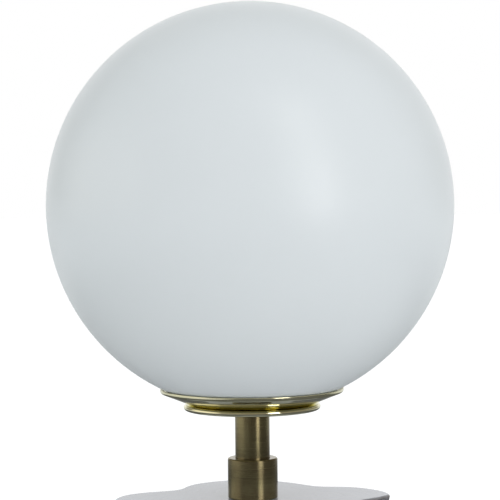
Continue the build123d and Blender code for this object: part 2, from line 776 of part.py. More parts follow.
side_contact_path = [
    (-leg_x, leg_low_z),
    (-leg_x, strip_rest_z),
    (-side_contact_reach, strip_rest_z),
]
with BuildPart() as side_contact:
    with BuildSketch(turned):
        with BuildLine():
            FilletPolyline(*side_contact_path, radius=contact_bend_radius)
        trace(line_width=contact_strip)
    extrude(amount=contact_width / 2, both=True)
side_contact.part.label = "side_contact"
export_step(side_contact.part, "parts/side_contact.step")

with BuildPart() as holder_terminal_screws:
    for side in pole_sides:
        with BuildSketch(Plane(origin=(side * pole_leg_outer, 0, terminal_z), z_dir=(side, 0, 0))):
            Circle(holder_screw_radius)
        extrude(amount=head_seat_reach - pole_leg_outer)
        with BuildSketch(Plane(origin=(side * head_seat_reach, 0, terminal_z), z_dir=(side, 0, 0))):
            Circle(holder_screw_head_radius)
        extrude(amount=holder_screw_head_height)
        head_face_reach = head_seat_reach + holder_screw_head_height
        with BuildSketch(Plane(origin=(side * head_face_reach, 0, terminal_z), z_dir=(side, 0, 0))):
            Rectangle(2 * holder_screw_head_radius, holder_screw_slot)
        extrude(amount=-holder_screw_head_height / 2, mode=Mode.SUBTRACT)
holder_terminal_screws.part.label = "holder_terminal_screws"
export_step(holder_terminal_screws.part, "parts/holder_terminal_screws.step")

# ------------------------------------------------------------------ inner leads
# Each lead runs from its pole of the terminal block, under the rod, up its bore and out to its pole of the
# lampholder. The route is held by the block, the rod and the core all the way.
lead_low_z = cover_top_z + lead_floor_clearance + lead_radius
lead_flare_z = rod_top_z + lead_flare_rise
lead_gather_z = core_bottom_z - lead_gather_drop
lead_top_z = core_bottom_z + holder_lead_depth - lead_end_gap
lead_start_y = -block_screw_reach + block_screw_radius + lead_radius


def lead_points(side, pole_x, out_y, sweep_point, turn_y):
    """Route of one lead; side is +1 or -1, the other values are where it lies in the recess."""
    return [
        (pole_x, lead_start_y, block_hole_z),
        (pole_x, out_y, block_hole_z),
        sweep_point,
        (side * lead_offset, turn_y, lead_low_z),
        (side * lead_offset, 0, lead_low_z),
        (side * lead_offset, 0, lead_flare_z),
        (side * holder_pole_radius, 0, lead_gather_z),
        (side * holder_pole_radius, 0, lead_top_z),
    ]


near_pole_x = block_centre_x - block_pole_spacing / 2
far_pole_x = block_centre_x + block_pole_spacing / 2
lead_routes = {
    "lead_live": lead_points(1, near_pole_x, live_out_y, live_sweep_point, live_turn_y),
    "lead_neutral": lead_points(-1, far_pole_x, neutral_out_y, neutral_sweep_point, neutral_turn_y),
}
for lead_name, route in lead_routes.items():
    radii = corner_radii(route)
    with BuildPart() as lead:
        with BuildLine() as lead_line:
            FilletPolyline(*route, radius=radii)
        with BuildSketch(Plane(origin=route[0], z_dir=lead_line.line % 0)):
            Circle(lead_radius)
        sweep()
    tube_volume = pi * lead_radius**2 * lead_line.wire().length
    print(lead_name, "radii", [round(radius, 1) for radius in radii])
    print(lead_name, "volume ratio", round(lead.part.volume / tube_volume, 4))
    lead.part.label = lead_name
    export_step(lead.part, f"parts/{lead_name}.step")

# ------------------------------------------------------------------ glass globe
globe_top_z = globe_centre_z + globe_radius
globe_inner_top_z = globe_centre_z + globe_inner_radius
with BuildPart() as glass_globe:
    with BuildSketch(turned):
        with BuildLine():
            Line((globe_opening_radius, opening_low_z), (globe_opening_radius, opening_high_z))
            ThreePointArc(
                (globe_opening_radius, opening_high_z),
                (globe_inner_radius, globe_centre_z),
                (0, globe_inner_top_z),
            )
            Line((0, globe_inner_top_z), (0, globe_top_z))
            ThreePointArc(
                (0, globe_top_z),
                (globe_radius, globe_centre_z),
                (globe_opening_radius, opening_low_z),
            )
        make_face()
    revolve(axis=Axis.Z)
    opening_edges = glass_globe.edges().filter_by(GeomType.CIRCLE)
    fillet(opening_edges.filter_by_position(Axis.Z, opening_low_z, opening_high_z), radius=glass_edge_round)
glass_globe.part.label = "glass_globe"
export_step(glass_globe.part, "parts/glass_globe.step")

# ------------------------------------------------------------------ lamp bulb
bulb_cap_bottom_z = bulb_z + bulb_cap_bottom
bulb_cap_cone_z = bulb_cap_bottom_z + bulb_cap_cone
bulb_cap_top_z = bulb_z + bulb_cap_top
bulb_cap_bore = bulb_cap_radius - bulb_cap_wall
bulb_joint_z = bulb_centre_z - sqrt(bulb_radius**2 - bulb_joint_radius**2)
bulb_inner_radius = bulb_radius - bulb_wall
bulb_joint_bore = sqrt(bulb_inner_radius**2 - (bulb_centre_z - bulb_joint_z) ** 2)

with BuildPart() as bulb_diffuser:
    with BuildSketch(turned):
        with BuildLine():
            Line((bulb_joint_bore, bulb_joint_z), (bulb_joint_radius, bulb_joint_z))
            ThreePointArc(
                (bulb_joint_radius, bulb_joint_z),
                (bulb_radius, bulb_centre_z),
                (0, bulb_centre_z + bulb_radius),
            )
            Line((0, bulb_centre_z + bulb_radius), (0, bulb_centre_z + bulb_inner_radius))
            ThreePointArc(
                (0, bulb_centre_z + bulb_inner_radius),
                (bulb_inner_radius, bulb_centre_z),
                (bulb_joint_bore, bulb_joint_z),
            )
        make_face()
    revolve(axis=Axis.Z)
bulb_diffuser.part.label = "bulb_diffuser"
export_step(bulb_diffuser.part, "parts/bulb_diffuser.step")

# The housing's bell leaves the cap upright and meets the diffuser along its own slope
housing_plug_radius = bulb_cap_bore - bulb_fit
housing_plug_z = bulb_cap_top_z - bulb_plug_depth
joint_tangent = (bulb_centre_z - bulb_joint_z, bulb_joint_radius)
joint_tangent_down = (bulb_joint_z - bulb_centre_z, -bulb_joint_radius)
with BuildPart() as bulb_housing:
    with BuildSketch(turned):
        with BuildLine():
            Polyline(
                (housing_plug_radius - bulb_wall, bulb_cap_top_z),
                (housing_plug_radius - bulb_wall, housing_plug_z),
                (housing_plug_radius, housing_plug_z),
                (housing_plug_radius, bulb_cap_top_z),
                (bulb_neck_radius, bulb_cap_top_z),
            )
            Spline(
                (bulb_neck_radius, bulb_cap_top_z),
                (bulb_joint_radius, bulb_joint_z),
                tangents=[(0, 1), joint_tangent],
            )
            Line((bulb_joint_radius, bulb_joint_z), (bulb_joint_bore, bulb_joint_z))
            Spline(
                (bulb_joint_bore, bulb_joint_z),
                (housing_plug_radius - bulb_wall, bulb_cap_top_z),
                tangents=[joint_tangent_down, (0, -1)],
            )
        make_face()
    revolve(axis=Axis.Z)
bulb_housing.part.label = "bulb_housing"
export_step(bulb_housing.part, "parts/bulb_housing.step")

with BuildPart() as bulb_led_board:
    with BuildSketch(Plane.XY.offset(bulb_joint_z - board_below_joint)):
        Circle(bulb_joint_bore - board_inset)
    extrude(amount=board_thickness)
bulb_led_board.part.label = "bulb_led_board"
export_step(bulb_led_board.part, "parts/bulb_led_board.step")

bulb_cap_profile = [
    (bulb_cap_mouth_radius, bulb_cap_bottom_z),
    (bulb_cap_radius, bulb_cap_cone_z),
    (bulb_cap_radius, bulb_cap_top_z),
    (bulb_cap_bore, bulb_cap_top_z),
    (bulb_cap_bore, bulb_cap_cone_z + bulb_cap_wall),
    (bulb_cap_mouth_radius, bulb_cap_bottom_z + bulb_cap_wall),
]
with BuildPart() as bulb_screw_cap:
    with BuildSketch(turned):
        with BuildLine():
            Polyline(*bulb_cap_profile, close=True)
        make_face()
    revolve(axis=Axis.Z)
bulb_screw_cap.part.label = "bulb_screw_cap"
export_step(bulb_screw_cap.part, "parts/bulb_screw_cap.step")

insulator_profile = [
    (0, bulb_z + bulb_tip_height),
    (bulb_tip_radius, bulb_z + bulb_tip_height),
    (bulb_cap_mouth_radius, bulb_cap_bottom_z),
    (bulb_cap_mouth_radius, bulb_cap_bottom_z + bulb_cap_wall),
    (0, bulb_cap_bottom_z + bulb_cap_wall),
]
with BuildPart() as bulb_insulator:
    with BuildSketch(turned):
        with BuildLine():
            Polyline(*insulator_profile, close=True)
        make_face()
    revolve(axis=Axis.Z)
bulb_insulator.part.label = "bulb_insulator"
export_step(bulb_insulator.part, "parts/bulb_insulator.step")

with BuildPart() as bulb_tip:
    with BuildSketch(Plane.XY.offset(bulb_z)):
        Circle(bulb_tip_radius)
    extrude(amount=bulb_tip_height)
    fillet(bulb_tip.faces().sort_by(Axis.Z)[0].edges(), radius=bulb_tip_height / 2)
bulb_tip.part.label = "bulb_tip"
export_step(bulb_tip.part, "parts/bulb_tip.step")
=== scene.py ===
import json
from math import asin, atan2, cos, degrees, pi, radians, sin, sqrt, tan

import bpy
from mathutils import Matrix, Vector, noise
from mathutils.bvhtree import BVHTree


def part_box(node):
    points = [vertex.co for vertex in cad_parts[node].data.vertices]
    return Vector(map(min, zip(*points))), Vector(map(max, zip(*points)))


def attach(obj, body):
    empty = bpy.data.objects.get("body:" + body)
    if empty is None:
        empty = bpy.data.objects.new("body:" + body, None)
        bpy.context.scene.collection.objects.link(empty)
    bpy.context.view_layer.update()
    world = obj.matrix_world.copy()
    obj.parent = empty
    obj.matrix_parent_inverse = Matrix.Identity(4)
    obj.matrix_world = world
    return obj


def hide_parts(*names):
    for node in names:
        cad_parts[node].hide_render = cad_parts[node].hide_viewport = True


# The looks of the globe table lamp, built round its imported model.
# Metres, +Z up. The photographed side faces -Y.

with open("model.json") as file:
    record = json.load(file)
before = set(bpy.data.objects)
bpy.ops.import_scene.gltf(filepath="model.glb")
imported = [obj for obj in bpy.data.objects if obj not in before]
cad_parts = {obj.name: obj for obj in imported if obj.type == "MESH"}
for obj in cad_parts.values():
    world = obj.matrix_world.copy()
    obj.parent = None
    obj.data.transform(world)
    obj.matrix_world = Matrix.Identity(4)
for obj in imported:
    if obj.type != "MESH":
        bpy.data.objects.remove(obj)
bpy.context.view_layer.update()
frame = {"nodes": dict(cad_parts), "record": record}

MM = 0.001
FULL_TURN = 2 * pi
SHARP = 35.0  # degrees between two faces from which their edge stays sharp
CUTTER_STEPS = 64


# ---------- the frame's sizes
def bottom_z(node):
    """Height of a node's lowest corner."""
    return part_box(node)[0].z


def top_z(node):
    """Height of a node's highest corner."""
    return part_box(node)[1].z


def span_z(node):
    """Heights of a node's lowest and highest corners."""
    return bottom_z(node), top_z(node)


def reach(node):
    """Largest radius of a node that is round about the lamp's axis."""
    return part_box(node)[1].x


def polar(radius, angle, z):
    """The point at a radius, an angle in radians and a height."""
    return radius * cos(angle), radius * sin(angle), z


# Rays go out at an angle that misses the holes and gaps of the round nodes
RAY_ANGLE = radians(33.0)
graph = bpy.context.evaluated_depsgraph_get()
trees = {}


def tree_of(node):
    """A CAD node's surface, for rays."""
    if node not in trees:
        trees[node] = BVHTree.FromObject(frame["nodes"][node], graph)
    return trees[node]


def section(node, height):
    """Inner and outer radius of a round node at a height, found by rays."""
    direction = Vector(polar(1, RAY_ANGLE, 0))
    inner = tree_of(node).ray_cast(Vector((0, 0, height)), direction)[0]
    outer = tree_of(node).ray_cast(direction + Vector((0, 0, height)), -direction)[0]
    return inner.xy.length, outer.xy.length


def tube(node):
    """Lowest and highest z of a round node, and its inner and outer radius half way up."""
    low, high = span_z(node)
    return low, high, *section(node, (low + high) / 2)


# ---------- profiles and meshes
def arc(centre, radius, start, end, count):
    """Points (r, z) on an arc about centre, its angles in degrees from the +r direction."""
    steps = [radians(start + (end - start) * index / count) for index in range(count + 1)]
    return [(centre[0] + radius * cos(step), centre[1] + radius * sin(step)) for step in steps]


def bend(start, corner, end, share):
    """The point at a share of the way along a curve that rounds a corner."""
    return tuple(start * (1 - share) ** 2 + corner * 2 * share * (1 - share) + end * share**2)


def softened(profile, edge, count=4):
    """A closed profile with each corner rounded, by edge or by the corner's own third value."""
    most_of_side, least_cut = 0.45, 0.001 * MM
    points = []
    total = len(profile)
    for index, corner in enumerate(profile):
        here = Vector(corner[:2])
        before = Vector(profile[index - 1][:2]) - here
        after = Vector(profile[(index + 1) % total][:2]) - here
        wanted = corner[2] if len(corner) > 2 else edge
        back = min(wanted, most_of_side * before.length, most_of_side * after.length)
        if back < least_cut:
            points.append(tuple(corner[:2]))
            continue
        start = here + before.normalized() * back
        end = here + after.normalized() * back
        points += [bend(start, here, end, step / count) for step in range(count + 1)]
    return points


def tube_profile(node, edge):
    """A tubular node's profile, its four edges rounded."""
    low, high, inner, outer = tube(node)
    return softened([(inner, low), (outer, low), (outer, high), (inner, high)], edge)


def shade(mesh, sharp_angle):
    """Shades a mesh smooth and keeps its edges over sharp_angle sharp."""
    mesh.shade_smooth()
    mesh.set_sharp_from_angle(angle=radians(sharp_angle))


def in_scene(name, data):
    """A new object in the scene for a mesh, lamp or camera."""
    item = bpy.data.objects.new(name, data)
    bpy.context.scene.collection.objects.link(item)
    return item


def new_object(name, vertices, faces, sharp_angle=SHARP):
    """A smooth-shaded mesh object whose edges over sharp_angle stay sharp."""
    mesh = bpy.data.meshes.new(name)
    mesh.from_pydata(vertices, [], faces)
    mesh.validate()
    shade(mesh, sharp_angle)
    mesh.update()
    return in_scene(name, mesh)


def ring_vertices(profile, steps, warp=None):
    """One ring of points for each profile point; warp moves a point, given r, z and its angle."""
    vertices = []
    for radius, height in profile:
        for step in range(steps):
            angle = FULL_TURN * step / steps
            r, z = warp(radius, height, angle) if warp else (radius, height)
            vertices.append(polar(r, angle, z))
    return vertices


def ring_faces(ring_count, steps, closed):
    """Quads that join neighbouring rings, and the last ring to the first if closed."""
    faces = []
    for ring in range(ring_count if closed else ring_count - 1):
        low = ring * steps
        high = ((ring + 1) % ring_count) * steps
        for step in range(steps):
            after = (step + 1) % steps
            faces.append((low + step, low + after, high + after, high + step))
    return faces


def turned(name, profile, steps, warp=None, sharp_angle=SHARP):
    """A closed profile, anticlockwise in (r, z) and clear of the axis, turned about the axis."""
    vertices = ring_vertices(profile, steps, warp)
    return new_object(name, vertices, ring_faces(len(profile), steps, closed=True), sharp_angle)


def turned_solid(name, profile, steps, sharp_angle=SHARP):
    """An open profile whose two ends lie on the axis, turned about it."""
    vertices = ring_vertices(profile[1:-1], steps)
    faces = ring_faces(len(profile) - 2, steps, closed=False)
    first, last = len(vertices), len(vertices) + 1
    vertices += [(0, 0, profile[0][1]), (0, 0, profile[-1][1])]
    top_ring = (len(profile) - 3) * steps
    for step in range(steps):
        after = (step + 1) % steps
        faces.append((first, after, step))
        faces.append((last, top_ring + step, top_ring + after))
    return new_object(name, vertices, faces, sharp_angle)


def cutter(radius, start, end, place):
    """A cylinder along its own Z, moved by a matrix, to be cut from a piece."""
    vertices = ring_vertices([(radius, start), (radius, end)], CUTTER_STEPS)
    faces = ring_faces(2, CUTTER_STEPS, closed=False)
    faces += [tuple(reversed(range(CUTTER_STEPS))), tuple(range(CUTTER_STEPS, 2 * CUTTER_STEPS))]
    return placed(new_object("cutter", vertices, faces), place)


def placed(piece, matrix):
    """Moves a piece's mesh and leaves its object at the origin."""
    piece.data.transform(matrix)
    return piece


def cut(piece, tool, sharp_angle=SHARP):
    """Cuts a tool from a piece, marks the new sharp edges and removes the tool."""
    modifier = piece.modifiers.new("cut", "BOOLEAN")
    modifier.operation = "DIFFERENCE"
    modifier.solver = "EXACT"
    modifier.object = tool
    evaluated = piece.evaluated_get(bpy.context.evaluated_depsgraph_get())
    result = bpy.data.meshes.new_from_object(evaluated)
    piece.modifiers.remove(modifier)
    shade(result, sharp_angle)
    old = piece.data
    piece.data = result
    bpy.data.meshes.remove(old)
    bpy.data.objects.remove(tool)


slot_of = {row["node"]: row["material_slot"] for row in frame["record"]["subparts"]}
body_of = {
    node: body for body, nodes in frame["record"]["behaviour"]["bodies"].items() for node in nodes
}


def dress(piece, node):
    """Gives a piece the finish of a CAD node."""
    piece.data.materials.clear()
    piece.data.materials.append(FINISHES[slot_of[node]])


def in_place_of(piece, node):
    """Puts a piece in place of a CAD node, on its body and with its finish."""
    dress(piece, node)
    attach(piece, body_of[node])
    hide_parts(node)


# ---------- node helpers
def wire(tree, value, slot):
    """Links a socket to a slot, or sets the slot to a number or colour."""
    if isinstance(value, bpy.types.NodeSocket):
        tree.links.new(value, slot)
    else:
        slot.default_value = (*value, 1) if isinstance(value, tuple) else value


def computed(tree, operation, *values):
    """A Math node on numbers or sockets."""
    node = tree.nodes.new("ShaderNodeMath")
    node.operation = operation
    for slot, value in zip(node.inputs, values):
        wire(tree, value, slot)
    return node.outputs[0]


def remapped(tree, value, low, high, to_low, to_high, kind="LINEAR"):
    """Maps a value from one range to another, clamped."""
    node = tree.nodes.new("ShaderNodeMapRange")
    node.interpolation_type = kind
    tree.links.new(value, node.inputs["Value"])
    for slot, number in zip(node.inputs[1:5], (low, high, to_low, to_high)):
        slot.default_value = number
    return node.outputs[0]


def mixed(tree, factor, first, second, kind="RGBA"):
    """A mix of two colours, or of two numbers where kind is FLOAT."""
    node = tree.nodes.new("ShaderNodeMix")
    node.data_type = kind
    slots = [slot for slot in node.inputs if slot.enabled]
    for slot, value in zip(slots, (factor, first, second)):
        wire(tree, value, slot)
    return next(slot for slot in node.outputs if slot.enabled)


# ---------- materials
class Finish:
    """A node material: a Principled shader with object coordinates, and helpers to vary it."""

    def __init__(self, name, colour, roughness, metallic=0.0):
        self.material = bpy.data.materials.new(name)
        self.material.use_nodes = True
        self.tree = self.material.node_tree
        self.nodes = self.tree.nodes
        self.links = self.tree.links
        self.shader = self.nodes["Principled BSDF"]
        self.set("Base Color", (*colour, 1))
        self.set("Roughness", roughness)
        self.set("Metallic", metallic)
        self.place = self.nodes.new("ShaderNodeTexCoord").outputs["Object"]
        self.normal = None

    def set(self, socket, value):
        """Sets a number or colour on the shader's own socket."""
        self.shader.inputs[socket].default_value = value

    def math(self, operation, *values):
        """A Math node on numbers or sockets."""
        return computed(self.tree, operation, *values)

    def stretched(self, scale):
        """The object's place, scaled along each axis."""
        node = self.nodes.new("ShaderNodeMapping")
        node.inputs["Scale"].default_value = scale
        self.links.new(self.place, node.inputs["Vector"])
        return node.outputs[0]

    def along_x(self, value):
        """A place whose X is a value, for noise that changes with that value alone."""
        node = self.nodes.new("ShaderNodeCombineXYZ")
        self.links.new(value, node.inputs["X"])
        return node.outputs[0]

    def noise(self, scale, detail=3.0, source=None, roughness=0.55):
        """Noise from 0 to 1; scale is in cells a metre."""
        node = self.nodes.new("ShaderNodeTexNoise")
        for slot, number in {"Scale": scale, "Detail": detail, "Roughness": roughness}.items():
            node.inputs[slot].default_value = number
        self.links.new(source or self.place, node.inputs["Vector"])
        return node.outputs["Fac"]

    def ramp(self, factor, *stops):
        """A colour ramp; each stop is (position, colour)."""
        node = self.nodes.new("ShaderNodeValToRGB")
        ramp = node.color_ramp
        while len(ramp.elements) < len(stops):
            ramp.elements.new(0.5)
        for element, (position, colour) in zip(ramp.elements, stops):
            element.position = position
            element.color = (*colour, 1)
        self.links.new(factor, node.inputs["Fac"])
        return node.outputs["Color"]

    def remap(self, value, low, high, to_low, to_high):
        """Maps a value from one range to another, clamped."""
        return remapped(self.tree, value, low, high, to_low, to_high)

    def mix(self, factor, first, second):
        """A mix of two colours or colour sockets."""
        return mixed(self.tree, factor, first, second)

    def attribute(self, name):
        """A number stored on the mesh."""
        node = self.nodes.new("ShaderNodeAttribute")
        node.attribute_name = name
        return node.outputs["Fac"]

    def axis_distance(self):
        """Distance from the lamp's axis."""
        flat = self.nodes.new("ShaderNodeVectorMath")
        flat.operation = "MULTIPLY"
        flat.inputs[1].default_value = (1, 1, 0)
        self.links.new(self.place, flat.inputs[0])
        length = self.nodes.new("ShaderNodeVectorMath")
        length.operation = "LENGTH"
        self.links.new(flat.outputs[0], length.inputs[0])
        return length.outputs["Value"]

    def paint(self, colour):
        """Links a colour to the shader."""
        self.links.new(colour, self.shader.inputs["Base Color"])

    def clouded(self, colour, value, darkest, lightest):
        """Paints a colour that darkens and lightens by these factors, following a value."""
        stops = (0.3, scaled(colour, darkest)), (0.7, scaled(colour, lightest))
        self.paint(self.ramp(value, *stops))

    def translucent(self, weight, depth):
        """Lets light through under the surface, alike for all colours, to a depth in metres."""
        self.set("Subsurface Weight", weight)
        self.set("Subsurface Radius", (1.0, 1.0, 1.0))
        self.set("Subsurface Scale", depth)

    def varied_roughness(self, value, low, high):
        """Roughness between low and high, following a value from 0.3 to 0.7."""
        self.links.new(self.remap(value, 0.3, 0.7, low, high), self.shader.inputs["Roughness"])

    def bump(self, height, depth):
        """Bump of a height from 0 to 1, depth in metres; several bumps add up."""
        node = self.nodes.new("ShaderNodeBump")
        node.inputs["Strength"].default_value = 1.0
        node.inputs["Distance"].default_value = depth
        self.links.new(height, node.inputs["Height"])
        if self.normal:
            self.links.new(self.normal, node.inputs["Normal"])
        self.normal = node.outputs["Normal"]
        self.links.new(self.normal, self.shader.inputs["Normal"])


def scaled(colour, factor):
    """A colour made darker or lighter."""
    return tuple(channel * factor for channel in colour)


def mottled(name, colour, roughness, metallic, scale, spread, depth):
    """Fine uneven colour, roughness and grain, for moulded, plated and painted pieces."""
    finish = Finish(name, colour, roughness, metallic)
    coarse = finish.noise(scale / 12, 2.0)
    fine = finish.noise(scale, 3.0)
    finish.clouded(colour, coarse, 1 - spread, 1 + spread)
    finish.varied_roughness(fine, roughness * 0.85, min(1.0, roughness * 1.15))
    finish.bump(fine, depth)
    return finish


def opal_glass():
    """Satin opal glass: milky, faintly uneven, with a fine etched grain."""
    colour = (0.828, 0.885, 0.90)
    finish = Finish("opal_glass", colour, 0.34)
    finish.clouded(colour, finish.noise(9.0, 2.0), 0.985, 1.015)
    finish.varied_roughness(finish.noise(60.0, 2.0), 0.31, 0.37)
    finish.set("IOR", 1.5)
    finish.translucent(0.35, 0.012)
    finish.bump(finish.noise(2600.0, 2.0), 15e-6)
    return finish.material


def polished_brass():
    """Pale lacquered brass with the faint rings that spinning leaves."""
    colour = (0.80, 0.77, 0.53)
    finish = Finish("polished_brass", colour, 0.09, 1.0)
    finish.clouded(colour, finish.noise(55.0), 0.96, 1.03)
    rings = finish.noise(5200.0, 2.0, finish.along_x(finish.axis_distance()))
    finish.varied_roughness(finish.noise(420.0), 0.06, 0.13)
    finish.bump(rings, 4e-6)
    return finish.material


def brushed_bronze():
    """Antique bronze, brushed round the stem, with the patina rubbed thinner in places."""
    finish = Finish("brushed_bronze", (0.235, 0.20, 0.105), 0.22, 1.0)
    fine = finish.noise(1.0, 4.0, finish.stretched((18.0, 18.0, 2600.0)), 0.7)
    broad = finish.noise(1.0, 2.0, finish.stretched((10.0, 10.0, 620.0)), 0.6)
    worn = finish.ramp(
        finish.noise(85.0), (0.35, (0.205, 0.165, 0.09)), (0.68, (0.27, 0.238, 0.125))
    )
    streaks = finish.math(
        "ADD", finish.math("MULTIPLY", fine, 0.6), finish.math("MULTIPLY", broad, 0.4)
    )
    dark_streaks = finish.remap(streaks, 0.33, 0.52, 0.5, 0.0)
    finish.paint(finish.mix(dark_streaks, worn, (0.13, 0.10, 0.055)))
    finish.varied_roughness(fine, 0.19, 0.29)
    finish.bump(fine, 10e-6)
    finish.bump(broad, 20e-6)
    finish.set("Anisotropic", 0.5)
    finish.set("Anisotropic Rotation", 0.25)
    tangent = finish.nodes.new("ShaderNodeTangent")
    tangent.direction_type = "RADIAL"
    tangent.axis = "Z"
    finish.links.new(tangent.outputs[0], finish.shader.inputs["Tangent"])
    return finish.material


def polished_stone():
    """Polished grey stone: faint growth bands that follow the edge, and a thin dark rind."""
    finish = Finish("polished_stone", (0.32, 0.34, 0.38), 0.12)
    depth_in = finish.attribute("depth_in")
    waver = finish.math("MULTIPLY_ADD", finish.noise(60.0), 0.006, depth_in)
    body = finish.ramp(
        finish.noise(420.0, 4.0, finish.along_x(waver), 0.65),
        (0.30, (0.415, 0.43, 0.475)),
        (0.48, (0.445, 0.46, 0.51)),
        (0.70, (0.475, 0.485, 0.53)),
    )
    milk = finish.remap(finish.noise(28.0), 0.35, 0.7, 0.0, 0.35)
    cloudy = finish.mix(milk, body, (0.495, 0.505, 0.55))
    rind_line = finish.math("MULTIPLY_ADD", finish.noise(300.0, 2.0), 0.0012, depth_in)
    rind = finish.remap(rind_line, 0.0006, 0.0019, 0.85, 0.0)
    finish.paint(finish.mix(rind, cloudy, (0.135, 0.115, 0.10)))
    finish.varied_roughness(finish.noise(900.0), 0.09, 0.17)
    finish.set("IOR", 1.54)
    finish.bump(finish.noise(2400.0), 4e-6)
    return finish.material


def stone_bark():
    """The slab's natural edge: rough, dark, with rusty and pale patches."""
    finish = Finish("stone_bark", (0.13, 0.125, 0.13), 0.75)
    grain = finish.noise(520.0, 5.0, roughness=0.7)
    stone = finish.ramp(
        finish.noise(110.0, 4.0),
        (0.30, (0.075, 0.07, 0.07)),
        (0.50, (0.14, 0.135, 0.14)),
        (0.72, (0.25, 0.225, 0.20)),
    )
    finish.paint(finish.mix(finish.remap(grain, 0.45, 0.75, 0.0, 0.6), stone, (0.32, 0.32, 0.34)))
    finish.varied_roughness(grain, 0.55, 0.85)
    finish.bump(grain, 0.0003)
    return finish.material


def spring_strip():
    """Bright spring steel, rolled lengthways."""
    finish = mottled("spring_steel", (0.55, 0.55, 0.56), 0.24, 1.0, 700.0, 0.05, 4e-6)
    finish.bump(finish.noise(1.0, 3.0, finish.stretched((3000.0, 3000.0, 60.0))), 4e-6)
    return finish.material


def clear_silicone():
    """Milky translucent silicone."""
    finish = mottled("clear_silicone", (0.78, 0.79, 0.78), 0.42, 0.0, 1500.0, 0.03, 10e-6)
    finish.translucent(0.3, 0.002)
    return finish.material


FINISHES = {
    "opal_glass": opal_glass(),
    "polished_brass": polished_brass(),
    "brushed_bronze": brushed_bronze(),
    "polished_stone": polished_stone(),
    "spring_steel": spring_strip(),
    "clear_silicone": clear_silicone(),
}

# Plainer finishes: colour, roughness, metallic, then the grain's cells a metre, the spread of
# the colour and the grain's depth
MOTTLED = {
    "turned_brass": ((0.74, 0.60, 0.31), 0.24, 1.0, 2500.0, 0.05, 6e-6),
    "zinc_steel": ((0.60, 0.61, 0.63), 0.34, 1.0, 1400.0, 0.08, 10e-6),
    "cover_steel": ((0.045, 0.045, 0.047), 0.55, 0.0, 3000.0, 0.10, 30e-6),
    "foot_rubber": ((0.045, 0.045, 0.045), 0.78, 0.0, 2600.0, 0.15, 40e-6),
    "black_plastic": ((0.03, 0.03, 0.032), 0.42, 0.0, 3600.0, 0.10, 20e-6),
    "natural_plastic": ((0.76, 0.73, 0.66), 0.45, 0.0, 2200.0, 0.04, 10e-6),
    "holder_plastic": ((0.032, 0.032, 0.034), 0.34, 0.0, 3200.0, 0.10, 15e-6),
    "white_ceramic": ((0.80, 0.79, 0.75), 0.48, 0.0, 2600.0, 0.03, 20e-6),
    "brown_lead": ((0.16, 0.07, 0.035), 0.38, 0.0, 2000.0, 0.08, 10e-6),
    "blue_lead": ((0.035, 0.10, 0.32), 0.38, 0.0, 2000.0, 0.08, 10e-6),
    "bulb_white": ((0.86, 0.86, 0.84), 0.36, 0.0, 1800.0, 0.02, 8e-6),
    "bulb_plastic": ((0.80, 0.80, 0.79), 0.30, 0.0, 2400.0, 0.03, 10e-6),
    "board_aluminium": ((0.80, 0.80, 0.80), 0.40, 0.0, 2000.0, 0.03, 10e-6),
    "nickel_cap": ((0.66, 0.64, 0.60), 0.22, 1.0, 1600.0, 0.06, 6e-6),
    "black_insulator": ((0.012, 0.012, 0.013), 0.12, 0.0, 1600.0, 0.10, 10e-6),
    "tip_metal": ((0.62, 0.59, 0.52), 0.30, 1.0, 2600.0, 0.10, 30e-6),
}
FINISHES.update({name: mottled(name, *row).material for name, row in MOTTLED.items()})


# ---------- stone slab
SLAB_STEPS = 720
SLAB_SHARP = 50.0
SMOOTH_SHIFTS = range(-3, 4)
TOP_ROUND, BOTTOM_ROUND = 1.2 * MM, 0.7 * MM
TOP_RINGS, TOP_CROWDING = 24, 0.7
WALL_RINGS, WALL_FADE = 34, 6
slab_low, slab_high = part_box("stone_slab")
outline_height = slab_high.z - 4 * MM
slab_angles = [FULL_TURN * step / SLAB_STEPS for step in range(SLAB_STEPS)]


def slab_outline(angle):
    """Distance from the axis to the slab's outline, at an angle in radians."""
    direction = Vector(polar(1, angle, 0))
    start = Vector((0, 0, outline_height)) + direction * 2 * slab_high.x
    return tree_of("stone_slab").ray_cast(start, -direction)[0].xy.length


raw_outline = [slab_outline(angle) for angle in slab_angles]
outline = [
    sum(raw_outline[(step + shift) % SLAB_STEPS] for shift in SMOOTH_SHIFTS) / len(SMOOTH_SHIFTS)
    for step in range(SLAB_STEPS)
]


# The natural edge: cells a metre of its flutes, ledges and grain, and how deep each is in mm
FLUTE_CELLS, LEDGE_CELLS, GRAIN_CELLS = 55, Vector((40, 40, 420)), 380
FLUTE_MM, LEDGE_MM, GRAIN_MM = 0.75, 0.8, 0.22


def bark_depth(angle, height, radius):
    """How far the natural edge lies inside the outline."""
    place = Vector(polar(radius, angle, height))
    flutes = noise.noise(place * FLUTE_CELLS) * 0.5 + 0.5
    ledges = noise.noise(place * LEDGE_CELLS) * 0.5 + 0.5
    grain = noise.fractal(place * GRAIN_CELLS, 0.8, 2.0, 4)
    return max(0.0, FLUTE_MM * flutes + LEDGE_MM * ledges + GRAIN_MM * grain) * MM


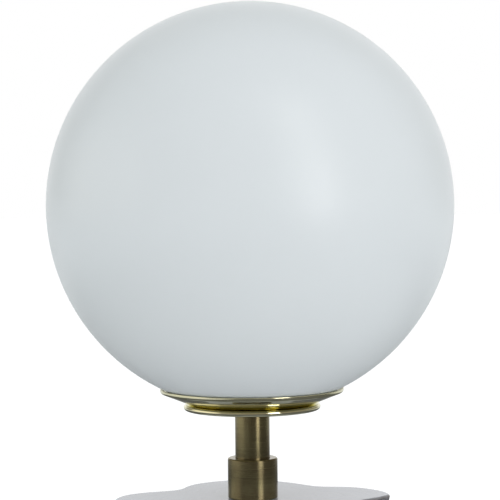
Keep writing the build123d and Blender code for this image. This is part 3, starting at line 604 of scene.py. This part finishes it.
def slab_mesh():
    """The slab, with its rough edge, recess, rebate and rod hole, and the faces of that edge."""
    top, bottom = slab_high.z, slab_low.z
    recess_top = top_z("base_washer")
    recess = section("stone_slab", recess_top - 1 * MM)[0]
    rebate_top = top_z("base_cover")
    rebate = section("stone_slab", (bottom + rebate_top) / 2)[0]
    rod_hole = section("stone_slab", top - 2 * MM)[0]
    inner = rod_hole + 2 * MM
    fixed = [(rebate, bottom), (rebate, rebate_top), (recess, rebate_top), (recess, recess_top)]
    fixed += [(rod_hole, recess_top), (rod_hole, top), (inner, top)]
    rows = [[point] * SLAB_STEPS for point in fixed]
    for ring in range(1, TOP_RINGS + 1):
        share = (ring / TOP_RINGS) ** TOP_CROWDING
        rows.append([(inner + (edge - TOP_ROUND - inner) * share, top) for edge in outline])
    for turn in range(15, 91, 15):
        drop = TOP_ROUND * (1 - cos(radians(turn)))
        out = TOP_ROUND * (1 - sin(radians(turn)))
        rows.append([(edge - out, top - drop) for edge in outline])
    wall_top, wall_bottom = top - TOP_ROUND, bottom + BOTTOM_ROUND
    wall_start = len(rows)
    for ring in range(1, WALL_RINGS):
        share = ring / WALL_RINGS
        height = wall_top + (wall_bottom - wall_top) * share
        fade = min(1.0, WALL_FADE * share, WALL_FADE * (1 - share))
        rows.append([
            (edge - fade * bark_depth(angle, height, edge), height)
            for angle, edge in zip(slab_angles, outline)
        ])
    wall_end = len(rows)
    for turn in range(0, 91, 30):
        rise = BOTTOM_ROUND * (1 - sin(radians(turn)))
        out = BOTTOM_ROUND * (1 - cos(radians(turn)))
        rows.append([(edge - out, bottom + rise) for edge in outline])
    for share in (0.75, 0.5, 0.25):
        rows.append([(rebate + (edge - BOTTOM_ROUND - rebate) * share, bottom) for edge in outline])
    vertices = [polar(r, angle, z) for row in rows for (r, z), angle in zip(row, slab_angles)]
    depths = [edge - point[0] for row in rows for point, edge in zip(row, outline)]
    faces = ring_faces(len(rows), SLAB_STEPS, closed=True)
    piece = new_object("stone_base", vertices, faces, SLAB_SHARP)
    piece.data.attributes.new("depth_in", "FLOAT", "POINT").data.foreach_set("value", depths)
    return piece, range((wall_start - 2) * SLAB_STEPS, (wall_end + 2) * SLAB_STEPS)


slab, slab_wall_faces = slab_mesh()
in_place_of(slab, "stone_slab")
slab.data.materials.append(stone_bark())
for face in slab_wall_faces:
    slab.data.polygons[face].material_index = 1

# The gland's hole and its two flat pockets are cut from the slab
POCKET_RADIUS, GLAND_HOLE_RADIUS = 8.8 * MM, 5.7 * MM
IN_RECESS, BEHIND_SLAB = 0.02, 0.08
gland_low, gland_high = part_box("cord_gland")
nut_low, nut_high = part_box("gland_nut")
gland_height = Matrix.Translation((0, 0, (gland_low.z + gland_high.z) / 2))
ALONG_Y = gland_height @ Matrix.Rotation(radians(-90.0), 4, "X")
flange_back = gland_high.y - 2 * MM
bpy.context.view_layer.update()
for hole_radius, hole_start, hole_end in (
    (POCKET_RADIUS, flange_back, BEHIND_SLAB),
    (GLAND_HOLE_RADIUS, nut_high.y - 1 * MM, flange_back + 1 * MM),
    (POCKET_RADIUS, IN_RECESS, nut_high.y),
):
    cut(slab, cutter(hole_radius, hole_start, hole_end, ALONG_Y), SLAB_SHARP)


# ---------- collar and stem
def collar():
    """The collar: a turned cup with a fine chamfer and a bore for the stem."""
    low, high = span_z("collar_sleeve")
    outer = reach("collar_sleeve")
    bore = section("collar_sleeve", high - 3 * MM)[0]
    hole, floor = section("collar_sleeve", low + 1 * MM)[0], bottom_z("stem_tube")
    chamfer = 0.5 * MM
    profile = [(hole, low), (outer - chamfer, low), (outer, low + chamfer), (outer, high - chamfer)]
    profile += [(outer - chamfer, high), (bore, high), (bore, floor), (hole, floor)]
    return turned("brushed_collar", softened(profile, 0.2 * MM), 192)


in_place_of(collar(), "collar_sleeve")
in_place_of(turned("brushed_stem", tube_profile("stem_tube", 0.15 * MM), 192), "stem_tube")


# ---------- gallery
def gallery_disc():
    """The thick lower plate, with its fully rounded edge."""
    low, high, hole, outer = tube("gallery_plate")
    edge = (high - low) / 2
    profile = [(hole, low), (outer - edge, low)]
    profile += arc((outer - edge, low + edge), edge, -90, 90, 16)[1:-1]
    profile += [(outer - edge, high), (hole, high)]
    return turned("gallery_disc", profile, 256)


def gallery_pan():
    """The spun pan: floor, cone and upright lip of one sheet, with soft bends."""
    floor, lip = span_z("gallery_pan")
    sheet = bottom_z("gallery_washer") - floor
    hole = section("gallery_pan", floor + sheet / 2)[0]
    rim = reach("gallery_pan")
    floor_radius, lip_height = 30.4 * MM, 1.8 * MM
    brim = lip - lip_height
    slope = (brim - floor) / (rim - floor_radius)
    rise = sheet * sqrt(1 + slope**2)
    inner_rim = rim - sheet
    inner_floor = floor_radius - (rise - sheet) / slope
    profile = [
        (hole, floor, 0),
        (floor_radius, floor, 2.0 * MM),
        (rim, brim, 0.8 * MM),
        (rim, lip, 0.38 * MM),
        (inner_rim, lip, 0.38 * MM),
        (inner_rim, floor + slope * (inner_rim - floor_radius) + rise, 0.5 * MM),
        (inner_floor, floor + sheet, 2.0 * MM),
        (hole, floor + sheet, 0),
    ]
    return turned("spun_pan", softened(profile, 0, 10), 288)


RIVET_CIRCLE, RIVET_HOLE = 18.5 * MM, 1.55 * MM
BELOW_RIVETS, ABOVE_RIVETS = 0.07, 0.08
for sheet_piece, sheet_node in ((gallery_disc(), "gallery_plate"), (gallery_pan(), "gallery_pan")):
    for rivet_angle in (90, 210, 330):
        rivet_place = Matrix.Translation(polar(RIVET_CIRCLE, radians(rivet_angle), 0))
        cut(sheet_piece, cutter(RIVET_HOLE, BELOW_RIVETS, ABOVE_RIVETS, rivet_place))
    in_place_of(sheet_piece, sheet_node)


# ---------- glass globe
def opal_globe():
    """The globe: an even wall whose ground rim is softly rounded."""
    radius = reach("glass_globe")
    centre = top_z("glass_globe") - radius
    opening, wall = 33.0 * MM, 2.5 * MM
    inner = radius - wall
    rim_round, rim_steps = 1.1 * MM, 7

    def shell_arc(shell, start, end):
        """An arc of the globe between two angles, less what the rim's rounding takes from it."""
        points = arc((0, centre), shell, start, end, 150)
        kept = [point for point in points if point[0] > opening + rim_round or point[1] > centre]
        return points, kept

    def rim_angle(shell):
        return degrees(atan2(-sqrt(shell**2 - opening**2), opening))

    outside, kept_outside = shell_arc(radius, rim_angle(radius), 90)
    inside, kept_inside = shell_arc(inner, 90, rim_angle(inner))
    corner_low, corner_high = Vector(outside[0]), Vector(inside[-1])
    middle = (corner_low + corner_high) / 2
    rim = []
    for start, corner, end in (
        (Vector(kept_inside[-1]), corner_high, middle),
        (middle, corner_low, Vector(kept_outside[0])),
    ):
        rim += [bend(start, corner, end, step / rim_steps) for step in range(1, rim_steps)]
    return turned_solid("opal_globe", kept_inside + rim + kept_outside, 256, 60.0)


in_place_of(opal_globe(), "glass_globe")


# ---------- screw threads
def thread_wave(height, angle, pitch, keenness):
    """A right-hand thread's profile, from -1 at its root to 1 at its crest."""
    return asin(keenness * cos(FULL_TURN * height / pitch - angle)) / asin(keenness)


def between(value, start, end):
    """Smooth share, from 0 to 1, of the way from start to end."""
    share = min(1.0, max(0.0, (value - start) / (end - start)))
    return share * share * (3 - 2 * share)


def levels(low, high, step):
    """Heights from low to high, about a step apart."""
    count = max(1, round((high - low) / step))
    return [low + (high - low) * index / count for index in range(count + 1)]


# ---------- threaded rod, nuts and washers
METAL_PITCH = 1.0 * MM
METAL_DEPTH = 0.55 * MM
METAL_STEP = METAL_PITCH / 6
THREAD_GAP = 0.05 * MM


def metal_thread(crest):
    """The radius, by height and angle, of a cut thread with this crest."""

    def radius_at(height, angle):
        return crest - METAL_DEPTH * (1 - thread_wave(height, angle, METAL_PITCH, 0.95)) / 2

    return radius_at


rod_low, rod_high, rod_bore, rod_crest = tube("threaded_rod")
rod_thread = metal_thread(rod_crest)


def rod():
    """The threaded rod, its ends chamfered to the thread's root."""
    crests = [(rod_crest, height) for height in levels(rod_low, rod_high, METAL_STEP)]
    profile = [(rod_bore, rod_low), *crests, (rod_bore, rod_high)]

    def cut_thread(radius, height, angle):
        if radius == rod_bore:
            return radius, height
        from_end = min(height - rod_low, rod_high - height)
        return min(rod_thread(height, angle), rod_crest - METAL_DEPTH + from_end), height

    return turned("rod_thread", profile, 36, cut_thread, 60.0)


def hex_nut(name, low, high, flats, thread, crest, corner=0.0):
    """A chamfered nut with a threaded bore; flats is half its width, corner a corner's angle."""
    crown = 0.97 * flats
    mouth = crest + 0.25 * MM
    sixth = FULL_TURN / 6
    walls = levels(low + METAL_STEP, high - METAL_STEP, METAL_STEP)
    profile = [(mouth, low), (crown, low), (flats, low)]
    profile += [(flats, high), (crown, high), (mouth, high)]
    profile += [(crest, height) for height in reversed(walls)]

    def shape(radius, height, angle):
        if radius == flats:
            wide = flats / cos((angle - corner) % sixth - sixth / 2)
            drop = (wide - crown) * tan(sixth / 2)
            return wide, height + (drop if height == low else -drop)
        if radius == crest:
            from_end = min(height - low, high - height)
            return max(thread(height, angle) + THREAD_GAP, mouth - from_end), height
        return radius, height

    return turned(name, profile, 144, shape, 25.0)


def lock_ring():
    """The split lock washer, its ring cut by a straight gap."""
    half_gap = 0.8 * MM
    profile = tube_profile("lock_washer", 0.2 * MM)
    steps, around = 120, len(profile)
    vertices, faces = [], []
    for step in range(steps + 1):
        for radius, height in profile:
            start = asin(half_gap / radius)
            angle = start + (FULL_TURN - 2 * start) * step / steps
            vertices.append(polar(radius, angle, height))
    for step in range(steps):
        for side in range(around):
            after = (side + 1) % around
            here, there = step * around, (step + 1) * around
            faces.append((here + side, there + side, there + after, here + after))
    faces.append(tuple(range(around)))
    faces.append(tuple(reversed(range(steps * around, (steps + 1) * around))))
    return new_object("split_ring", vertices, faces)


in_place_of(rod(), "threaded_rod")
for nut_node in ("base_nut", "gallery_nut"):
    low_z, high_z = span_z(nut_node)
    nut_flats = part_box(nut_node)[1].y
    nut = hex_nut(f"{nut_node}_hex", low_z, high_z, nut_flats, rod_thread, rod_crest + THREAD_GAP)
    in_place_of(nut, nut_node)
for ring_node, edge in (
    ("base_washer", 0.25),
    ("gallery_washer", 0.2),
    ("stem_bush_lower", 0.4),
    ("stem_bush_upper", 0.4),
):
    in_place_of(turned(f"{ring_node}_turned", tube_profile(ring_node, edge * MM), 128), ring_node)
in_place_of(lock_ring(), "lock_washer")


# ---------- cord gland and feet
SHANK = 5.5 * MM
shank_thread = metal_thread(SHANK)


def gland():
    """The cord gland: a threaded shank, and a domed flange with a smooth mouth for the cord."""
    flange, bore, bore_chamfer = gland_high.x, 3.2 * MM, 0.6 * MM
    start, back, front = gland_low.y, flange_back, gland_high.y
    thread_end, run_out = start + 12 * MM, 1.5 * MM
    profile = [(bore + bore_chamfer, start)]
    profile += [(SHANK, along) for along in levels(start, back - METAL_STEP, METAL_STEP)]
    head = [(SHANK, back, 0), (flange, back, 0.3 * MM), (flange, back + 0.9 * MM, 0.5 * MM)]
    head += [(flange - 1.6 * MM, front, 1.0 * MM), (bore + 1.2 * MM, front, 0.8 * MM)]
    head += [(bore, front - 1.4 * MM, 0.6 * MM), (bore, start + bore_chamfer, 0)]
    head += [(bore + bore_chamfer, start, 0)]
    profile += softened(head, 0)[:-1]

    def cut_thread(radius, along, angle):
        if radius != SHANK or along >= thread_end:
            return radius, along
        fade = between(along, thread_end, thread_end - run_out)
        chamfer = SHANK - METAL_DEPTH + (along - start)
        return min(SHANK + (shank_thread(along, angle) - SHANK) * fade, chamfer), along

    return placed(turned("gland_moulding", profile, 72, cut_thread, 40.0), ALONG_Y)


def foot(node):
    """A rubber foot with a rounded tread and a shallow moulded hollow beneath."""
    low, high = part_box(node)
    radius = (high.x - low.x) / 2
    tread = radius - 0.8 * MM
    thickness = high.z - low.z
    hollow = 0.35 * MM
    profile = [(0, hollow, 0), (1.5 * MM, hollow, 0.3 * MM), (2.0 * MM, 0, 0.2 * MM)]
    profile += [(tread, 0, 0.5 * MM), (radius, thickness, 0.15 * MM), (0, thickness, 0)]
    piece = turned_solid(f"{node}_moulded", softened(profile, 0), 64)
    return placed(piece, Matrix.Translation(((low.x + high.x) / 2, (low.y + high.y) / 2, low.z)))


in_place_of(gland(), "cord_gland")
low_z, high_z, crest = nut_low.y, nut_high.y, SHANK + THREAD_GAP
nut = hex_nut("gland_nut_hex", low_z, high_z, nut_high.x, shank_thread, crest, radians(90.0))
in_place_of(placed(nut, ALONG_Y), "gland_nut")
for number in range(1, 5):
    in_place_of(foot(f"rubber_foot_{number}"), f"rubber_foot_{number}")


# ---------- seat ring
def seat_ring():
    """The silicone seat ring, its upper face hollowed to the globe."""
    node = "globe_seat_ring"
    inner = section(node, bottom_z(node) + 0.3 * MM)[0]
    outer = reach(node)
    inset, corner_round = 0.05 * MM, 0.25 * MM
    up = Vector((0, 0, 1))
    lower, upper = [], []
    for radius in levels(inner + inset, outer - inset, 0.5 * MM):
        under = Vector(polar(radius, RAY_ANGLE, 0))
        lower.append((radius, tree_of(node).ray_cast(under, up)[0].z))
        upper.append((radius, tree_of(node).ray_cast(under + up, -up)[0].z))
    corners = (lower[0], lower[-1], upper[0], upper[-1])
    profile = [
        (*point, corner_round) if point in corners else point for point in lower + upper[::-1]
    ]
    return turned("seat_ring", softened(profile, 0), 192)


in_place_of(seat_ring(), "globe_seat_ring")


# ---------- lampholder
def cap_of_holder():
    """The holder's lower cap, with a rounded base, a ledge for the core and a threaded boss."""
    low, high = span_z("holder_cap")
    outer = reach("holder_cap")
    wall_inner = section("holder_cap", high - 1 * MM)[0]
    ledge_inner, ledge = section("holder_cap", low + 8 * MM)[0], bottom_z("holder_core")
    boss, floor = 8.5 * MM, low + 3 * MM
    bore = rod_crest + THREAD_GAP
    mouth = bore + 0.3 * MM
    profile = [(mouth, low, 0), (outer, low, 3.6 * MM), (outer, high, 0.3 * MM)]
    profile += [(wall_inner, high, 0.3 * MM), (wall_inner, ledge, 0.2 * MM)]
    profile += [(ledge_inner, ledge, 0.3 * MM), (ledge_inner, floor, 1.2 * MM)]
    profile += [(boss, floor, 0.8 * MM), (boss, rod_high, 0.4 * MM), (mouth, rod_high, 0)]
    walls = levels(low + METAL_STEP, rod_high - METAL_STEP, METAL_STEP)
    profile = softened(profile, 0, 6) + [(bore, height) for height in reversed(walls)]

    def cut_thread(radius, height, angle):
        if radius != bore:
            return radius, height
        return rod_thread(height, angle) + THREAD_GAP, height

    return turned("holder_cap_moulded", profile, 144, cut_thread)


FLUTES, FLUTE_DEPTH, FLUTE_STEPS = 40, 0.5 * MM, 12


def shell_of_holder():
    """The holder's screwed shell: a fluted skirt, a waist, and a lip that holds the core."""
    low, high = span_z("holder_shell")
    skirt_bore, skirt = section("holder_shell", low + 2 * MM)
    neck_bore, neck = section("holder_shell", high - 8 * MM)
    lip_inner = section("holder_shell", high - 1 * MM)[0]
    seat_gap, wall, rise = 0.15 * MM, 1.8 * MM, 4 * MM
    lip = top_z("holder_core") + seat_gap
    shoulder = top_z("holder_cap") + seat_gap
    skirt_top = shoulder + wall
    flute_heights = levels(low + 0.9 * MM, skirt_top - 0.9 * MM, 0.3 * MM)
    profile = [(skirt_bore, low, 0.3 * MM), (skirt, low, 0.5 * MM)]
    profile += [(skirt, height, 0) for height in flute_heights]
    profile += [(skirt, skirt_top, 0.8 * MM), (neck, skirt_top + rise, 1.5 * MM)]
    profile += [(neck, high, 0.9 * MM), (lip_inner, high, 0.7 * MM), (lip_inner, lip, 0.2 * MM)]
    profile += [(neck_bore, lip, 0.2 * MM), (neck_bore, shoulder + rise / 2, 0.5 * MM)]
    profile += [(skirt_bore, shoulder, 0.3 * MM)]
    flute_low, flute_high = flute_heights[0], flute_heights[-1]

    def fluted(radius, height, angle):
        if radius != skirt or not flute_low <= height <= flute_high:
            return radius, height
        share = between(height, flute_low, flute_low + 1 * MM)
        share *= between(height, flute_high, flute_high - 1 * MM)
        return radius - FLUTE_DEPTH * share * (0.5 + 0.5 * cos(FLUTES * angle)), height

    return turned("holder_shell_fluted", softened(profile, 0, 5), FLUTE_STEPS * FLUTES, fluted)


# Screw shell and bulb cap are rolled to one thread, so the bulb turns out without touching
ROLLED_PITCH = 25.4 / 7 * MM
ROLLED_MEAN = 12.65 * MM
ROLLED_DEPTH = 0.45 * MM
ROLLED_GAP = 0.4 * MM
ROLLED_STEP = 0.2 * MM
ROLLED_STEPS_ROUND = 96
ROLLED_SHARP = 50.0
bulb_z = bottom_z("bulb_tip")


def rolled_thread(height, angle):
    """Radius of the bulb cap's rolled thread."""
    return ROLLED_MEAN + ROLLED_DEPTH * thread_wave(height, angle, ROLLED_PITCH, 0.3)


def shell_of_screw():
    """The brass screw shell: a turned-in flange, the rolled thread and a plain mouth."""
    low, high, inner, outer = tube("screw_shell")
    flange = section("screw_shell", low + 0.2 * MM)[0]
    sheet = outer - inner
    profile = [(flange, low)] + [(outer, height) for height in levels(low, high, ROLLED_STEP)]
    profile += [(inner, height) for height in reversed(levels(low + sheet, high, ROLLED_STEP))]
    profile.append((flange, low + sheet))

    def rolled(radius, height, angle):
        if radius == flange:
            return radius, height
        share = between(height, low + 1 * MM, low + 2 * MM)
        share *= between(height, bulb_z + 17.9 * MM, bulb_z + 16.5 * MM)
        return radius + (rolled_thread(height, angle) + ROLLED_GAP - inner) * share, height

    return turned("screw_shell_rolled", profile, ROLLED_STEPS_ROUND, rolled, ROLLED_SHARP)


def cap_of_bulb():
    """The bulb's screw cap: a cone, the rolled thread, and a plain skirt round the housing."""
    low, high = span_z("bulb_screw_cap")
    outer = reach("bulb_screw_cap")
    sheet, mouth = 0.6 * MM, 9.5 * MM
    root = ROLLED_MEAN - ROLLED_DEPTH
    cone_top = low + 2.3 * MM
    walls = levels(cone_top, high - 0.3 * MM, ROLLED_STEP)
    profile = [(mouth, low), (mouth + 0.4 * MM, low)] + [(outer, height) for height in walls]
    profile += [(outer - 0.15 * MM, high), (outer - 0.45 * MM, high)]
    profile += [(outer - sheet, height) for height in reversed(walls)] + [(mouth, low + sheet)]

    def rolled(radius, height, angle):
        if radius not in (outer, outer - sheet):
            return radius, height
        into = between(height, cone_top, cone_top + 1 * MM)
        out = between(height, bulb_z + 17.1 * MM, bulb_z + 18.5 * MM)
        shape = root + (rolled_thread(height, angle) - root) * into
        shape += (outer - shape) * out
        return shape - (outer - radius), height

    return turned("bulb_cap_rolled", profile, ROLLED_STEPS_ROUND, rolled, ROLLED_SHARP)


def insulator_of_bulb():
    """The black glass insulator, dished between the cap and the tip."""
    low, high = span_z("bulb_insulator")
    mouth, tip = reach("bulb_insulator"), reach("bulb_tip")
    dish = [
        (tip + (mouth - tip) * share, low + (high - 0.6 * MM - low) * share**0.8)
        for share in (0.1, 0.25, 0.4, 0.55, 0.7, 0.85, 1.0)
    ]
    profile = [(0, low), (tip, low), *dish, (mouth, high), (0, high)]
    return turned_solid("insulator_glass", profile, 96)


def tip_of_bulb():
    """The bulb's centre contact: a low solder dome."""
    low, high = span_z("bulb_tip")
    radius = reach("bulb_tip")
    dome = [
        (radius * share, low + (high - low) * (1 - sqrt(1 - share**4)) * 0.9)
        for share in (0.25, 0.5, 0.7, 0.85, 0.95)
    ]
    profile = [(0, low), *dome, (radius, high - 0.1 * MM), (radius, high), (0, high)]
    return turned_solid("bulb_tip_dome", profile, 72, 60.0)


for make_piece, node in (
    (cap_of_holder, "holder_cap"),
    (shell_of_holder, "holder_shell"),
    (shell_of_screw, "screw_shell"),
    (cap_of_bulb, "bulb_screw_cap"),
    (insulator_of_bulb, "bulb_insulator"),
    (tip_of_bulb, "bulb_tip"),
):
    in_place_of(make_piece(), node)


# ---------- CAD nodes that stay: corners and finishes
# Width in millimetres of the bevel on each
EASED = {
    "base_cover": 0.25, "base_cover_screws": 0.15, "cover_inserts": 0.2,
    "terminal_block": 0.3, "terminal_block_screws": 0.08,
    "spring_clip_1": 0.15, "spring_clip_2": 0.15, "spring_clip_3": 0.15,
    "holder_core": 0.12, "centre_contact": 0.1, "side_contact": 0.1,
    "holder_terminal_screws": 0.12, "bulb_led_board": 0.15,
}
for node, width in EASED.items():
    modifiers = frame["nodes"][node].modifiers
    modifiers.new("weld", "WELD").merge_threshold = 0.001 * MM
    bevel = modifiers.new("ease", "BEVEL")
    bevel.width = width * MM
    bevel.segments = 2
    bevel.limit_method = "ANGLE"
    bevel.angle_limit = radians(40.0)
    bevel.harden_normals = True

for node, piece in frame["nodes"].items():
    if not piece.hide_render:
        dress(piece, node)


# ---------- stage, studio and camera
KEY_AZIMUTH = 37.5
WHITE = (1.0, 1.0, 1.0)


def seen_directly(tree, rays):
    """1 for what the camera sees, also through glass, and 0 for the rest."""
    camera_ray, through_glass = rays.outputs["Is Camera Ray"], rays.outputs["Is Transmission Ray"]
    return computed(tree, "MAXIMUM", camera_ray, through_glass)


def along_axes(tree, output):
    """The X, Y and Z of a texture coordinate."""
    split = tree.nodes.new("ShaderNodeSeparateXYZ")
    tree.links.new(tree.nodes.new("ShaderNodeTexCoord").outputs[output], split.inputs[0])
    return split.outputs


def table_top():
    """A pale table, white but for the lamp's shadow; to reflections it shows a painted shade round
    the lamp.
    """
    half, lit_tone, seen_tone, seen_glow = 4.0, 0.90, 0.70, 0.50
    painted_shade_tone, far_tone = 0.15, 0.90
    open_behind, open_at_left = (0.20, 0.55), (-0.36, -0.56)
    material = bpy.data.materials.new("table_top")
    material.use_nodes = True
    tree = material.node_tree
    tree.nodes.clear()
    output, add, paint, glow, rays = (
        tree.nodes.new("ShaderNode" + kind)
        for kind in ("OutputMaterial", "AddShader", "BsdfDiffuse", "Emission", "LightPath")
    )
    seen = seen_directly(tree, rays)
    place = along_axes(tree, "Object")
    # Painted shade: to reflections the table is darker round the lamp, and full tone only behind it
    # and far to the left
    behind, at_left = (
        remapped(tree, place[axis], *edge, painted_shade_tone, far_tone, "SMOOTHSTEP")
        for axis, edge in (("Y", open_behind), ("X", open_at_left))
    )
    mirrored = computed(tree, "MAXIMUM", behind, at_left)
    tone = mixed(tree, rays.outputs["Is Glossy Ray"], lit_tone, mirrored, "FLOAT")
    tone = mixed(tree, seen, tone, seen_tone, "FLOAT")
    tree.links.new(tone, paint.inputs["Color"])
    tree.links.new(computed(tree, "MULTIPLY", seen, seen_glow), glow.inputs["Strength"])
    tree.links.new(paint.outputs[0], add.inputs[0])
    tree.links.new(glow.outputs[0], add.inputs[1])
    tree.links.new(add.outputs[0], output.inputs["Surface"])
    corners = [(-half, -half, 0), (half, -half, 0), (half, half, 0), (-half, half, 0)]
    floor = new_object("table_top", corners, [(0, 1, 2, 3)])
    floor.data.materials.append(material)


def studio():
    """The world: white to the camera, plain to the light, and to reflections a dark room.

    The room has a white rear wall, a pale panel at the left and a glare round the key lamp.
    """
    dark_room, left_panel, key_glare = (0.275, 0.25, 0.207), (1.15, 1.08, 0.97), (2.8, 2.7, 2.55)
    panel_edge, wall_edge = (-0.76, -0.94), (0.74, 0.95)
    glare_edge, glare_front = (0.11, 0.20), (-0.3, -0.5)
    plain_back, plain_front = (0.50, 0.54, 0.52), (0.98, 0.99, 1.015)
    lightest_way = (0.26, -0.79, 0.56)
    world = bpy.data.worlds.new("studio")
    bpy.context.scene.world = world
    world.use_nodes = True
    tree = world.node_tree
    background = tree.nodes["Background"]
    rays = tree.nodes.new("ShaderNodeLightPath")
    direction = tree.nodes.new("ShaderNodeTexCoord").outputs["Generated"]
    part = along_axes(tree, "Generated")

    def toward(vector):
        """How far the direction points along a vector."""
        node = tree.nodes.new("ShaderNodeVectorMath")
        node.operation = "DOT_PRODUCT"
        node.inputs[1].default_value = vector
        tree.links.new(direction, node.inputs[0])
        return node.outputs["Value"]

    def graded(value, edge, low=0.0, high=1.0):
        """A level that goes smoothly from low to high as a value crosses an edge."""
        return remapped(tree, value, *edge, low, high, "SMOOTHSTEP")

    mirrored = mixed(tree, graded(part["X"], panel_edge), dark_room, left_panel)
    mirrored = mixed(tree, graded(part["Y"], wall_edge), mirrored, WHITE)
    off_key = computed(tree, "ABSOLUTE", toward(polar(1, radians(KEY_AZIMUTH), 0)))
    near_key, in_front = graded(off_key, glare_edge, 1.0, 0.0), graded(part["Y"], glare_front)
    glare = computed(tree, "MULTIPLY", near_key, in_front)
    mirrored = mixed(tree, glare, mirrored, key_glare)
    front = remapped(tree, toward(lightest_way), -1.0, 1.0, 0.0, 1.0)
    plain = mixed(tree, front, plain_back, plain_front)
    level = mixed(tree, rays.outputs["Is Glossy Ray"], plain, mirrored)
    level = mixed(tree, seen_directly(tree, rays), level, WHITE)
    tree.links.new(level, background.inputs["Color"])
    background.inputs["Strength"].default_value = 1.0


def key_lamp():
    """A soft lamp in front at the right; radiance 1 is white."""
    distance, height, aim_z = 1.2, 0.30, 0.12
    width, length, radiance = 0.42, 0.60, 1.75
    data = bpy.data.lights.new("key_strip", "AREA")
    data.shape = "RECTANGLE"
    data.size, data.size_y = width, length
    data.energy = radiance * pi * width * length
    data.color = (1.0, 0.985, 1.0)
    lamp = in_scene("key_strip", data)
    angle = radians(KEY_AZIMUTH)
    lamp.location = (distance * sin(angle), -distance * cos(angle), height)
    toward = Vector((0, 0, aim_z)) - lamp.location
    lamp.rotation_mode = "QUATERNION"
    lamp.rotation_quaternion = toward.to_track_quat("-Z", "Y")
    lamp.visible_camera = False


def camera():
    """The photograph's viewpoint, its focal length in pixels of the photograph."""
    sensor, photo_width, focal_length = 36.0, 500.0, 2445.0
    eye_place, aim_place, roll_angle = (0, -1.2, 0.2201), (-0.00026, 0, 0.15306), radians(-0.578)
    data = bpy.data.cameras.new("camera")
    data.sensor_width = sensor
    data.lens = sensor * focal_length / photo_width
    eye = in_scene("camera", data)
    eye.location = eye_place
    aim = Vector(aim_place) - eye.location
    turn = aim.to_track_quat("-Z", "Y").to_matrix().to_4x4()
    eye.matrix_world = Matrix.Translation(eye.location) @ turn @ Matrix.Rotation(roll_angle, 4, "Z")
    bpy.context.scene.camera = eye


table_top()
studio()
key_lamp()
camera()

bpy.context.scene.view_settings.view_transform = "Standard"
# The gallery's two brass sheets mirror each other many times
bpy.context.scene.cycles.glossy_bounces = 12
